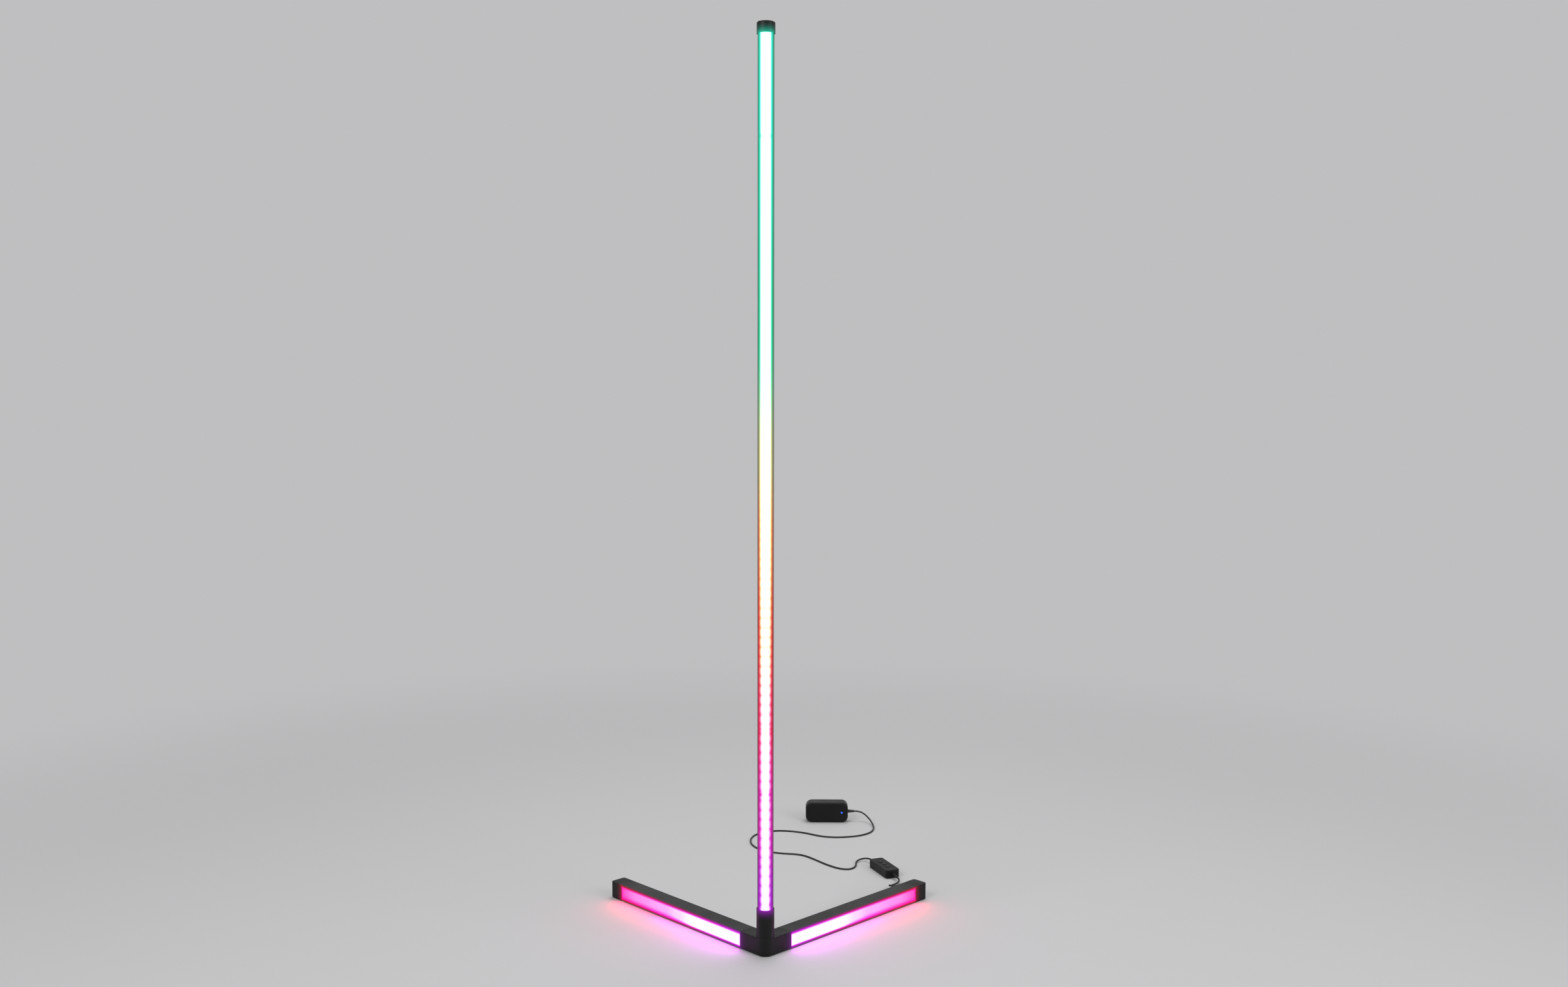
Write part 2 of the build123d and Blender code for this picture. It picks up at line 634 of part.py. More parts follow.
def pole_strip():
    return block(-STRIP_WIDTH / 2, STRIP_WIDTH / 2, pole_strip_front, -POLE_SEAT,
                 pole_strip_start, pole_strip_start + pole_led_count * LED_PITCH)


def pole_leds():
    leds = []
    for index in range(pole_led_count):
        middle = pole_strip_start + (index + 0.5) * LED_PITCH
        leds.append(block(-LED_SIZE / 2, LED_SIZE / 2, pole_strip_front - LED_HEIGHT, pole_strip_front,
                          middle - LED_SIZE / 2, middle + LED_SIZE / 2))
    return leds


def pole_wires():
    """Flat wire from the front of the strip down through the spigot to the junction board."""
    return block(-RIBBON_WIDTH / 2, RIBBON_WIDTH / 2, pole_strip_front - RIBBON_THICKNESS, pole_strip_front,
                 board_top, pole_strip_start + RIBBON_LAP)


def top_cap():
    cap = rod(CAP_DIAMETER / 2, cap_bottom, LAMP_HEIGHT)
    cap = fillet(cap.edges().group_by(Axis.Z)[-1], CAP_EDGE_RADIUS)
    return cap - rod(pole_radius + POLE_FIT, cap_bottom - CUT, pole_top)


# In-line controller, drawn along +X with the lamp's end at +X, then turned into place

def place_controller(part):
    return Pos(CONTROLLER_X, CONTROLLER_Y, 0) * Rot(0, 0, CONTROLLER_TURN) * part


controller_half = CONTROLLER_LENGTH / 2
controller_inside = CONTROLLER_HEIGHT - CONTROLLER_WALL
controller_board_bottom = CONTROLLER_WALL + CONTROLLER_BOARD_LIFT
controller_board_top = controller_board_bottom + BOARD_THICKNESS
switch_top = controller_board_top + SWITCH_HEIGHT
button_places = [-BUTTON_SPACING, 0.0, BUTTON_SPACING]
controller_screw_place = controller_half - CONTROLLER_SCREW_INSET
controller_screw_places = [-controller_screw_place, controller_screw_place]


def case_plan(inset):
    length = CONTROLLER_LENGTH - 2 * inset
    width = CONTROLLER_WIDTH - 2 * inset
    return RectangleRounded(length, width, CONTROLLER_CORNER - inset)


def controller_bottom():
    case = upright(case_plan(0), 0, CONTROLLER_SPLIT)
    case = fillet(case.edges().group_by(Axis.Z)[0], CONTROLLER_EDGE)
    case = chamfer(case.edges().group_by(Axis.Z)[-1], CASE_SEAM)
    case -= upright(case_plan(CONTROLLER_WALL), CONTROLLER_WALL, CONTROLLER_SPLIT + CUT)
    post_x = CONTROLLER_BOARD_LENGTH / 2 - CONTROLLER_POST_INSET
    post_y = CONTROLLER_BOARD_WIDTH / 2 - CONTROLLER_POST_INSET
    for x in (-post_x, post_x):
        for y in (-post_y, post_y):
            case += rod(CONTROLLER_POST_DIAMETER / 2, CONTROLLER_WALL, controller_board_bottom, x, y)
    for x in controller_screw_places:
        case -= Pos(x, 0, 0) * small_screw_hole(CONTROLLER_WALL + CUT)
    return case


def controller_top():
    case = upright(case_plan(0), CONTROLLER_SPLIT, CONTROLLER_HEIGHT)
    case = fillet(case.edges().group_by(Axis.Z)[-1], CONTROLLER_EDGE)
    case = chamfer(case.edges().group_by(Axis.Z)[0], CASE_SEAM)
    case -= upright(case_plan(CONTROLLER_WALL), CONTROLLER_SPLIT - CUT, controller_inside)
    for x in controller_screw_places:
        case += rod(CONTROLLER_SCREW_POST / 2, CONTROLLER_WALL, controller_inside, x, 0)
        case -= rod(small_hole_radius, 0, SMALL_SCREW_LENGTH + SMALL_HOLE_SPARE, x, 0)
    for x in button_places:
        case -= rod(BUTTON_DIAMETER / 2 + BUTTON_GAP, controller_inside - CUT, CONTROLLER_HEIGHT + CUT, x, 0)
    return case


def controller_board():
    return block(-CONTROLLER_BOARD_LENGTH / 2, CONTROLLER_BOARD_LENGTH / 2, -CONTROLLER_BOARD_WIDTH / 2,
                 CONTROLLER_BOARD_WIDTH / 2, controller_board_bottom, controller_board_top)


def tact_switches():
    switches = []
    bore_radius = BUTTON_STEM_DIAMETER / 2 + BUTTON_GAP
    for x in button_places:
        body = block(x - SWITCH_SIZE / 2, x + SWITCH_SIZE / 2, -SWITCH_SIZE / 2, SWITCH_SIZE / 2,
                     controller_board_top, switch_top)
        body -= rod(bore_radius, switch_top - SWITCH_BORE_DEPTH, switch_top + CUT, x, 0)
        switches.append(body)
    return switches


def push_button(x):
    """Round key with a flange under the case and a stem that reaches into its switch."""
    flange_top = controller_inside - BUTTON_STOP_GAP
    stem_end = switch_top - SWITCH_BORE_DEPTH + BUTTON_TRAVEL + BUTTON_GAP
    key = rod(BUTTON_DIAMETER / 2, flange_top - BUTTON_FLANGE, CONTROLLER_HEIGHT + BUTTON_RISE, x, 0)
    key = fillet(key.edges().group_by(Axis.Z)[-1], BUTTON_RISE * BUTTON_ROUNDING)
    key += rod(BUTTON_FLANGE_DIAMETER / 2, flange_top - BUTTON_FLANGE, flange_top, x, 0)
    return key + rod(BUTTON_STEM_DIAMETER / 2, stem_end, flange_top, x, 0)


def relief(base_diameter, tip_diameter, length):
    """Tapered sleeve along +X from x = 0, with grooves that let it bend."""
    sleeve = Pos(length / 2, 0, 0) * Rot(0, 90, 0) * Cone(base_diameter / 2, tip_diameter / 2, length)
    for index in range(RELIEF_GROOVES):
        share = (index + 1) / (RELIEF_GROOVES + 1)
        middle = length * share
        radius = (base_diameter * (1 - share) + tip_diameter * share) / 2 - RELIEF_GROOVE_DEPTH
        low = middle - RELIEF_GROOVE_WIDTH / 2
        high = middle + RELIEF_GROOVE_WIDTH / 2
        sleeve -= rod_x(base_diameter, low, high) - rod_x(radius, low, high)
    return sleeve


# Leads: straight runs joined by tangent arcs

def lead_tube(name, points):
    """A round lead along a route, with each arc as large as its runs allow."""
    radii = []
    for before, here, after in zip(points, points[1:], points[2:]):
        first = Vector(*here) - Vector(*before)
        second = Vector(*after) - Vector(*here)
        half_turn = math.radians(first.get_angle(second)) / 2
        radii.append(LEAD_ARC_SHARE * min(first.length, second.length) / math.tan(half_turn))
    path = FilletPolyline(*points, radius=radii)
    start = Plane(origin=path @ 0, z_dir=path % 0)
    tube = sweep(start * Circle(LEAD_DIAMETER / 2), path=path)
    section_area = math.pi * LEAD_DIAMETER ** 2 / 4
    print(name, "length", round(path.length, 1), "least radius", round(min(radii), 1),
          "volume ratio", round(tube.volume / (section_area * path.length), 4))
    print("  radii", [round(radius, 1) for radius in radii])
    return tube


def floor_points(pairs):
    """Points of a route that lies on the floor."""
    return [(x, y, lead_height) for x, y in pairs]


controller_heading = math.radians(CONTROLLER_TURN)
controller_axis = (math.cos(controller_heading), math.sin(controller_heading))


def controller_point(along, height):
    return (CONTROLLER_X + along * controller_axis[0], CONTROLLER_Y + along * controller_axis[1], height)


controller_back_tip = controller_point(-controller_half - RELIEF_LENGTH, CONTROLLER_SPLIT)
controller_front_tip = controller_point(controller_half + RELIEF_LENGTH, CONTROLLER_SPLIT)
plug_out = PLUG_LENGTH + PLUG_BOOT_LENGTH
plug_tip_plan = leg_point(jack_place, bar_half + plug_out)
plug_tip = (plug_tip_plan[0], plug_tip_plan[1], jack_height)

adapter_end = ADAPTER_X + ADAPTER_LENGTH / 2
adapter_mid = ADAPTER_WIDTH / 2
adapter_back = ADAPTER_Y + ADAPTER_DEPTH / 2
adapter_front = ADAPTER_Y - ADAPTER_DEPTH / 2
adapter_split = adapter_front + ADAPTER_FRONT
boot_tip = (adapter_end + BOOT_LENGTH, ADAPTER_Y, adapter_mid)

# From the adapter's boot to the floor, left behind the pole, round and back to the controller
adapter_lead_route = [
    boot_tip,
    (boot_tip[0] + LEAD_START, boot_tip[1], boot_tip[2]),
    (206.0, 779.0, 18.0),
    (217.0, 766.0, 9.5),
    (223.0, 747.0, 3.6),
] + floor_points([
    (224.5, 724.0), (219.0, 700.0), (205.5, 681.5), (186.0, 668.0), (160.0, 660.0), (131.5, 657.5),
    (103.0, 665.5), (75.5, 686.0), (48.0, 698.5), (17.0, 705.0), (-13.0, 697.5), (-36.5, 677.0),
    (-47.0, 647.0), (-46.0, 612.5), (-33.0, 580.5), (-9.0, 557.0), (22.5, 545.0), (50.0, 542.0),
    (70.0, 532.5), (89.5, 509.0), (112.0, 478.0), (135.0, 453.5), (152.0, 445.5), (165.0, 448.5),
    (173.0, 460.5), (175.5, 476.0),
]) + [
    (176.0, 491.5, 2.6),
    (183.2, 500.4, 4.4),
    (194.4, 502.6, 6.4),
    controller_point(-controller_half - RELIEF_LENGTH - LEAD_START, CONTROLLER_SPLIT),
    controller_back_tip,
]

# From the controller to the plug in the right end cap
plug_line = leg_point(jack_place, bar_half + plug_out + PLUG_LEAD_START)
lamp_lead_route = [
    controller_front_tip,
    controller_point(controller_half + RELIEF_LENGTH + LAMP_LEAD_START, CONTROLLER_SPLIT),
    (256.5, 363.0, 4.2),
    (246.0, 355.0, 2.0),
    (237.5, 343.5, 3.5),
    (234.5, 331.5, 8.5),
    (plug_line[0], plug_line[1], jack_height),
    plug_tip,
]


def lamp_plug():
    """Moulded plug of the short lead, its barrel in the jack."""
    body = rod_y(PLUG_DIAMETER / 2, bar_half, bar_half + PLUG_LENGTH, jack_place, jack_height)
    boot = relief(PLUG_DIAMETER, PLUG_TIP_DIAMETER, PLUG_BOOT_LENGTH)
    body += Pos(jack_place, bar_half + PLUG_LENGTH, jack_height) * Rot(0, 0, 90) * boot
    barrel_end = bar_half - PLUG_BARREL_LENGTH
    barrel = rod_y(PLUG_BARREL_DIAMETER / 2, barrel_end, bar_half, jack_place, jack_height)
    barrel -= rod_y(PLUG_BARREL_BORE / 2, barrel_end - CUT, bar_half, jack_place, jack_height)
    return body + barrel


# Plug-in adapter on its side: front half to -Y, pins to +Y, lead at +X

def adapter_plan(inset):
    length = ADAPTER_LENGTH - 2 * inset
    width = ADAPTER_WIDTH - 2 * inset
    return Pos(ADAPTER_X, adapter_mid) * RectangleRounded(length, width, ADAPTER_CORNER - inset)


def adapter_slab(inset, y0, y1):
    """The adapter's outline, drawn back between two depths."""
    slab = extrude(adapter_plan(inset), y1 - y0, dir=(0, 0, 1))
    return Pos(0, y1, 0) * Rot(90, 0, 0) * slab


indicator_x = adapter_end - INDICATOR_INSET
nose_x = ADAPTER_X - ADAPTER_LENGTH / 2 + NOSE_INSET
nose_end = adapter_back + NOSE_LENGTH


def adapter_front_case():
    case = adapter_slab(0, adapter_front, adapter_split)
    case = fillet(case.edges().group_by(Axis.Y)[0], ADAPTER_EDGE)
    case = chamfer(case.edges().group_by(Axis.Y)[-1], CASE_SEAM)
    case -= adapter_slab(ADAPTER_WALL, adapter_front + ADAPTER_WALL, adapter_split + CUT)
    case -= rod_y(INDICATOR_DIAMETER / 2 + INDICATOR_FIT, adapter_front - CUT,
                  adapter_front + ADAPTER_WALL + CUT, indicator_x, adapter_mid)
    return case


def nose_section(y, taper):
    """Section of the plug's nose at one depth."""
    height = NOSE_HEIGHT - taper
    plane = Plane(origin=(nose_x, y, adapter_mid), x_dir=(0, 0, 1), z_dir=(0, 1, 0))
    return plane * RectangleRounded(NOSE_WIDTH - taper, height, height * NOSE_ROUNDING)


def adapter_back_case():
    """Back half with the plug's nose, and inside it four posts that carry the board."""
    case = adapter_slab(0, adapter_split, adapter_back)
    case = fillet(case.edges().group_by(Axis.Y)[-1], ADAPTER_BACK_EDGE)
    case = chamfer(case.edges().group_by(Axis.Y)[0], CASE_SEAM)
    case -= adapter_slab(ADAPTER_WALL, adapter_split - CUT, adapter_back - ADAPTER_WALL)
    inset = ADAPTER_WALL + ADAPTER_BOARD_MARGIN + ADAPTER_POST_INSET
    post_x = ADAPTER_LENGTH / 2 - inset
    post_z = ADAPTER_WIDTH / 2 - inset
    for x in (ADAPTER_X - post_x, ADAPTER_X + post_x):
        for z in (adapter_mid - post_z, adapter_mid + post_z):
            case += rod_y(ADAPTER_POST_DIAMETER / 2, adapter_split, adapter_back - ADAPTER_WALL, x, z)
    case += loft([nose_section(adapter_back, 0), nose_section(nose_end, NOSE_TAPER)])
    for z in (adapter_mid - PIN_SPACING / 2, adapter_mid + PIN_SPACING / 2):
        case -= rod_y(PIN_ROOT_DIAMETER / 2 + PIN_FIT, nose_end - PIN_ROOT, nose_end + CUT, nose_x, z)
    return case


def adapter_pins():
    pins = []
    for z in (adapter_mid - PIN_SPACING / 2, adapter_mid + PIN_SPACING / 2):
        pin = rod_y(PIN_DIAMETER / 2, nose_end, nose_end + PIN_LENGTH, nose_x, z)
        pin = fillet(pin.edges().group_by(Axis.Y)[-1], PIN_DIAMETER * PIN_ROUNDING)
        pins.append(pin + rod_y(PIN_ROOT_DIAMETER / 2, nose_end - PIN_ROOT, nose_end, nose_x, z))
    return pins


def adapter_indicator():
    """Clear lens that stands a little proud of the front, held on the board behind it."""
    board_front = adapter_split - BOARD_THICKNESS
    lens_front = adapter_front - INDICATOR_RISE
    lens = rod_y(INDICATOR_DIAMETER / 2, lens_front, board_front, indicator_x, adapter_mid)
    return fillet(lens.edges().group_by(Axis.Y)[0], INDICATOR_RISE * INDICATOR_ROUNDING)


def adapter_board():
    inset = ADAPTER_WALL + ADAPTER_BOARD_MARGIN
    return adapter_slab(inset, adapter_split - BOARD_THICKNESS, adapter_split)


def adapter_transformer():
    front = adapter_front + ADAPTER_WALL + TRANSFORMER_GAP
    return block(ADAPTER_X - TRANSFORMER_LENGTH / 2, ADAPTER_X + TRANSFORMER_LENGTH / 2, front,
                 adapter_split - BOARD_THICKNESS,
                 adapter_mid - TRANSFORMER_HEIGHT / 2, adapter_mid + TRANSFORMER_HEIGHT / 2)


def adapter_boot():
    return Pos(adapter_end, ADAPTER_Y, adapter_mid) * relief(BOOT_DIAMETER, BOOT_TIP_DIAMETER, BOOT_LENGTH)


# Every node

save("corner_hub_shell", corner_hub())
save("hub_bottom_cover", hub_cover())
save("hub_cover_screws", group([Pos(x, y, FOOT_THICKNESS) * small_screw() for x, y in cover_screw_points]))
save("corner_bracket", corner_bracket())
save("frame_screws", group(frame_screws()))
save("hub_foot_pad", rod(HUB_FOOT_DIAMETER / 2, 0, FOOT_THICKNESS))
save("junction_board", junction_board())

save("pole_socket", pole_socket())
save("socket_washer", socket_washer())
save("socket_nut", socket_nut())
save("pole_channel", pole_channel())
save("pole_diffuser", pole_diffuser())
save("pole_led_strip", pole_strip())
save("pole_leds", group(pole_leds()))
save("pole_wires", pole_wires())
save("pole_top_cap", top_cap())

for side, place in (("left", left_leg), ("right", right_leg)):
    save(side + "_bar_channel", place(bar_channel()))
    save(side + "_bar_diffuser", place(bar_diffuser()))
    save(side + "_bar_led_strip", place(bar_strip()))
    save(side + "_bar_leds", group([place(led) for led in bar_leds()]))
    save(side + "_bar_wires", place(bar_wires()))
    save(side + "_end_cap", place(end_cap(side == "right")))
    save(side + "_foot_pad", place(end_foot()))
save("dc_jack", right_leg(dc_jack()))
save("feed_cable", right_leg(feed_cable()))

save("controller_case_bottom", place_controller(controller_bottom()))
save("controller_case_top", place_controller(controller_top()))
save("controller_board", place_controller(controller_board()))
save("tact_switches", group([place_controller(switch) for switch in tact_switches()]))
screws = [Pos(x, 0, 0) * small_screw() for x in controller_screw_places]
save("controller_screws", group([place_controller(screw) for screw in screws]))
for name, x in zip(("power_button", "mode_button", "speed_button"), button_places):
    save(name, place_controller(push_button(x)))
sleeve = relief(RELIEF_DIAMETER, RELIEF_TIP_DIAMETER, RELIEF_LENGTH)
front_relief = Pos(controller_half, 0, CONTROLLER_SPLIT) * sleeve
back_relief = Pos(-controller_half, 0, CONTROLLER_SPLIT) * Rot(0, 0, 180) * sleeve
save("lamp_lead_relief", place_controller(front_relief))
save("adapter_lead_relief", place_controller(back_relief))

save("lamp_lead", lead_tube("lamp_lead", lamp_lead_route))
save("lamp_plug", right_leg(lamp_plug()))
save("adapter_lead", lead_tube("adapter_lead", adapter_lead_route))

save("adapter_front_case", adapter_front_case())
save("adapter_back_case", adapter_back_case())
save("adapter_pins", group(adapter_pins()))
save("adapter_indicator", adapter_indicator())
save("adapter_board", adapter_board())
save("adapter_transformer", adapter_transformer())
save("adapter_boot", adapter_boot())
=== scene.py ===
import math

import bpy
from bpy.props import FloatProperty, FloatVectorProperty, PointerProperty
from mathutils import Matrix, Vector


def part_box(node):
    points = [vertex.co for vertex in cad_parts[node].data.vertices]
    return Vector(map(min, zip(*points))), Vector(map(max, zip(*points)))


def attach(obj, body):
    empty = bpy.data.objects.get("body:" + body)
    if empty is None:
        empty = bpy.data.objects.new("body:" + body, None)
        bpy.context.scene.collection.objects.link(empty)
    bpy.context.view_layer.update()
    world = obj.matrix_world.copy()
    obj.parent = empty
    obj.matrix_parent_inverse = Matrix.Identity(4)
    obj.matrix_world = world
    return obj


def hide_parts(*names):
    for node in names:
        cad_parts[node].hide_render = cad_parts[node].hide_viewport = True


bl_info = {
    "name": "Corner light lamp",
    "version": (1, 0, 0),
    "blender": (4, 5, 0),
    "location": "View3D > Sidebar > Corner lamp",
    "description": "Dresses a corner floor lamp with its light covers, housings, leads and stage",
    "category": "Object",
}

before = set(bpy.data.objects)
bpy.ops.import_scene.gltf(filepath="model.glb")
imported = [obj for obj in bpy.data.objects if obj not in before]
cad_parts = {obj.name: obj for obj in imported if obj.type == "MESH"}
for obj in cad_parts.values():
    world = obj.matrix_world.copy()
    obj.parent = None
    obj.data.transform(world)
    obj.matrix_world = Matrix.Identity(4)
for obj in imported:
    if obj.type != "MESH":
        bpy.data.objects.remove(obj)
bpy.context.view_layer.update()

# Sizes read from the frame, in metres
LIT_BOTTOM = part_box("pole_socket")[1].z
LIT_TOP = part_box("pole_top_cap")[0].z
STRIP_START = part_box("pole_led_strip")[0].z
NOSE_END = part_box("adapter_back_case")[1].y

# The two legs: the side of the pole that each stands on, and its name
LEGS = ((1, "right"), (-1, "left"))
LEG_TURN = math.radians(45)

# Sizes of the lamp's plan, in metres: the lit part of a leg from the pole's axis, its heights, its outer face
HUB_ARM = 0.048
BAR_END = 0.382
LIT_LOW = 0.0045
LIT_HIGH = 0.0281
OUTER_FACE = 0.016
LED_PITCH = 1 / 60

# Insulating sleeve of the pins, from the end of the plug's nose, in metres
PIN_SLEEVE = 0.010
PIN_SLEEVE_BLEND = 0.0001

# Camera: place in metres, lens in millimetres, turns about X, Y and Z
CAMERA_PLACE = (0.0584, -2.5401, 1.0039)
CAMERA_SENSOR = 36.0
CAMERA_LENS = 34.433
CAMERA_TILT = math.radians(85.497)
CAMERA_ROLL = math.radians(-0.097)
CAMERA_TURN = math.radians(0.623)
CAMERA_REACH = 100.0

# Stage, in metres: the floor's disc, where it fades into the backdrop, the gap from a bar to its pool lights
FLOOR_RADIUS = 30.0
FLOOR_SIDES = 64
FLOOR_FADE = (0.9, 2.8)
POOL_GAP = 0.0005

# Routes of the two leads, in metres
ADAPTER_LEAD_ROUTE = (
    (0.18200, 0.78400, 0.0230), (0.19300, 0.78400, 0.0230), (0.20600, 0.77900, 0.0180),
    (0.21700, 0.76600, 0.0095), (0.22300, 0.74700, 0.0036), (0.22450, 0.72400, 0.0018),
    (0.21900, 0.70000, 0.0018), (0.20550, 0.68150, 0.0018), (0.18600, 0.66800, 0.0018),
    (0.16000, 0.66000, 0.0018), (0.13150, 0.65750, 0.0018), (0.10300, 0.66550, 0.0018),
    (0.07550, 0.68600, 0.0018), (0.04800, 0.69850, 0.0018), (0.01700, 0.70500, 0.0018),
    (-0.01300, 0.69750, 0.0018), (-0.03650, 0.67700, 0.0018), (-0.04700, 0.64700, 0.0018),
    (-0.04600, 0.61250, 0.0018), (-0.03300, 0.58050, 0.0018), (-0.00900, 0.55700, 0.0018),
    (0.02250, 0.54500, 0.0018), (0.05000, 0.54200, 0.0018), (0.07000, 0.53250, 0.0018),
    (0.08950, 0.50900, 0.0018), (0.11200, 0.47800, 0.0018), (0.13500, 0.45350, 0.0018),
    (0.15200, 0.44550, 0.0018), (0.16500, 0.44850, 0.0018), (0.17300, 0.46050, 0.0018),
    (0.17550, 0.47600, 0.0018), (0.17600, 0.49150, 0.0026), (0.18320, 0.50040, 0.0044),
    (0.19440, 0.50260, 0.0064), (0.20482, 0.49667, 0.0075), (0.20912, 0.48655, 0.0075),
)
LAMP_LEAD_ROUTE = (
    (0.24961, 0.31466, 0.0113), (0.24324, 0.32103, 0.0113), (0.23450, 0.33150, 0.0085),
    (0.23750, 0.34350, 0.0035), (0.24600, 0.35500, 0.0020), (0.25650, 0.36300, 0.0042),
    (0.25679, 0.37425, 0.0075), (0.25288, 0.38345, 0.0075),
)

# Core of the covers, by the share of the lit length: the light given off, and the base colour shown, the
# covers' milky white with the LEDs' pink painted in towards the bars' far ends
POLE_CORE_LIGHT = (
    (0.01, (0.66, 0.22, 1.0)), (0.12, (1.0, 0.22, 0.80)), (0.22, (1.0, 0.24, 0.40)),
    (0.32, (1.0, 0.46, 0.22)), (0.44, (1.0, 0.66, 0.24)), (0.52, (0.80, 0.80, 0.34)),
    (0.62, (0.30, 1.0, 0.60)), (0.96, (0.22, 1.0, 0.76)),
)
BAR_CORE_LIGHT = (
    (0.0, (0.75, 0.19, 0.92)), (0.40, (0.92, 0.19, 0.72)), (0.50, (0.72, 0.11, 0.28)),
    (0.62, (0.66, 0.06, 0.18)), (0.85, (0.66, 0.035, 0.16)), (1.0, (0.66, 0.01, 0.11)),
)
BAR_CORE_MILK_AND_PAINTED_TINT = (
    (0.0, (0.80, 0.80, 0.80)), (0.40, (0.80, 0.80, 0.80)), (0.50, (0.80, 0.62, 0.76)),
    (0.62, (0.80, 0.42, 0.72)), (0.85, (0.80, 0.30, 0.68)), (1.0, (0.80, 0.08, 0.50)),
)
# The covers' own milky white, then the share of the edges' light painted into their base colour as a tint
MILKY = (0.80, 0.80, 0.80)
PAINTED_EDGE_TINT = 0.15

# Core of the pole's cover, in metres: half width low and high, blend of its edge, coloured shoulder
CORE_HALF_LOW = 0.0076
CORE_HALF_HIGH = 0.0092
CORE_BLEND_IN = 0.0008
CORE_BLEND_OUT = 0.0006
SHOULDER = 0.0014

# Halo beside that core: its reach in metres, and its level low and high on the pole
HALO_REACH = 0.0028
HALO_LOW = 0.36
HALO_HIGH = 0.12

# Shares of the pole's lit height over which its light changes
CORE_WIDENS = (0.0, 0.5)
RIPPLE_FADES = (0.15, 0.60)
GAPS_APPEAR = (0.20, 0.27)
GAPS_VANISH = (0.33, 0.40)
HALO_FADES = (0.50, 0.70)

# LEDs seen in the pole's light: the mean of their lobes, and the darker bands in the gaps between them
LOBE_MEAN = 0.64
LED_GAP_SHADE = 0.20
LED_GAP_SPREAD = 0.60

# Necks where the pole's strip is spliced, in metres: the height and the pinch of each, and their reach
STRIP_SPLICES = ((0.2855, 0.0022), (0.4000, 0.0011), (1.4000, 0.0007))
SPLICE_REACH = 0.005

# Blend of a bar's core into its coloured edges, in metres from each edge
BAR_TOP_EDGE = (0.0006, 0.0040)
BAR_FAR_EDGE = (0.0005, 0.0080)
BAR_NEAR_EDGE = (0.0002, 0.0012)

# Depth of a bar's lower edge, in metres, and the shares of the run over which it grows
BAR_LOW_EDGE_AT_HUB = 0.0026
BAR_LOW_EDGE_AT_END = 0.0100
BAR_LOW_EDGE_DEEPENS = (0.35, 0.62)

# Painted light on the black edges: its reach in metres, and the power by which it falls
GLOW_REACH = 0.020
LIP_GLOW_REACH = 0.009
GLOW_FALL = 3.0

# Depths over which that light leaves a front, in metres
FACE_BLEND = (0.0004, 0.0016)
CHANNEL_FRONT = (-0.0087, -0.0005)
ROUND_FRONT = (-0.014, 0.0)

# Strength of that light on some pieces, as a share of the edge spill
LIP_SPILL = 1.5
HUB_SPILL = 0.4
END_CAP_SPILL = 0.5

# Surface noise: where most of its values lie, and its scales along and across drawn pieces
NOISE_LOW = 0.3
NOISE_HIGH = 0.7
DIE_LINES_ALONG = 3
DIE_LINES_ACROSS = 900
DRAW_MARKS_ALONG = 0.05

# Colours of the fixings and of the pieces inside
SCREW_BLACK = (0.03, 0.03, 0.032)
STRIP_WHITE = (0.82, 0.82, 0.78)
LED_CREAM = (0.9, 0.86, 0.66)
BOARD_GREEN = (0.012, 0.11, 0.04)
WIRE_WHITE = (0.6, 0.6, 0.58)
SWITCH_BLACK = (0.03, 0.03, 0.03)
TAPE_YELLOW = (0.6, 0.42, 0.03)
NICKEL_DULL = (0.62, 0.60, 0.56)
NICKEL_BRIGHT = (0.74, 0.72, 0.68)


def linear(red, green, blue):
    """A screen colour, 0 to 255, as the linear colour that nodes use."""
    def one(value):
        value = value / 255
        return value / 12.92 if value <= 0.04045 else ((value + 0.055) / 1.055) ** 2.4
    return (one(red), one(green), one(blue))


def colour_property(name, description, default):
    return FloatVectorProperty(name=name, description=description, subtype="COLOR", size=3, min=0, max=1,
                               default=default)


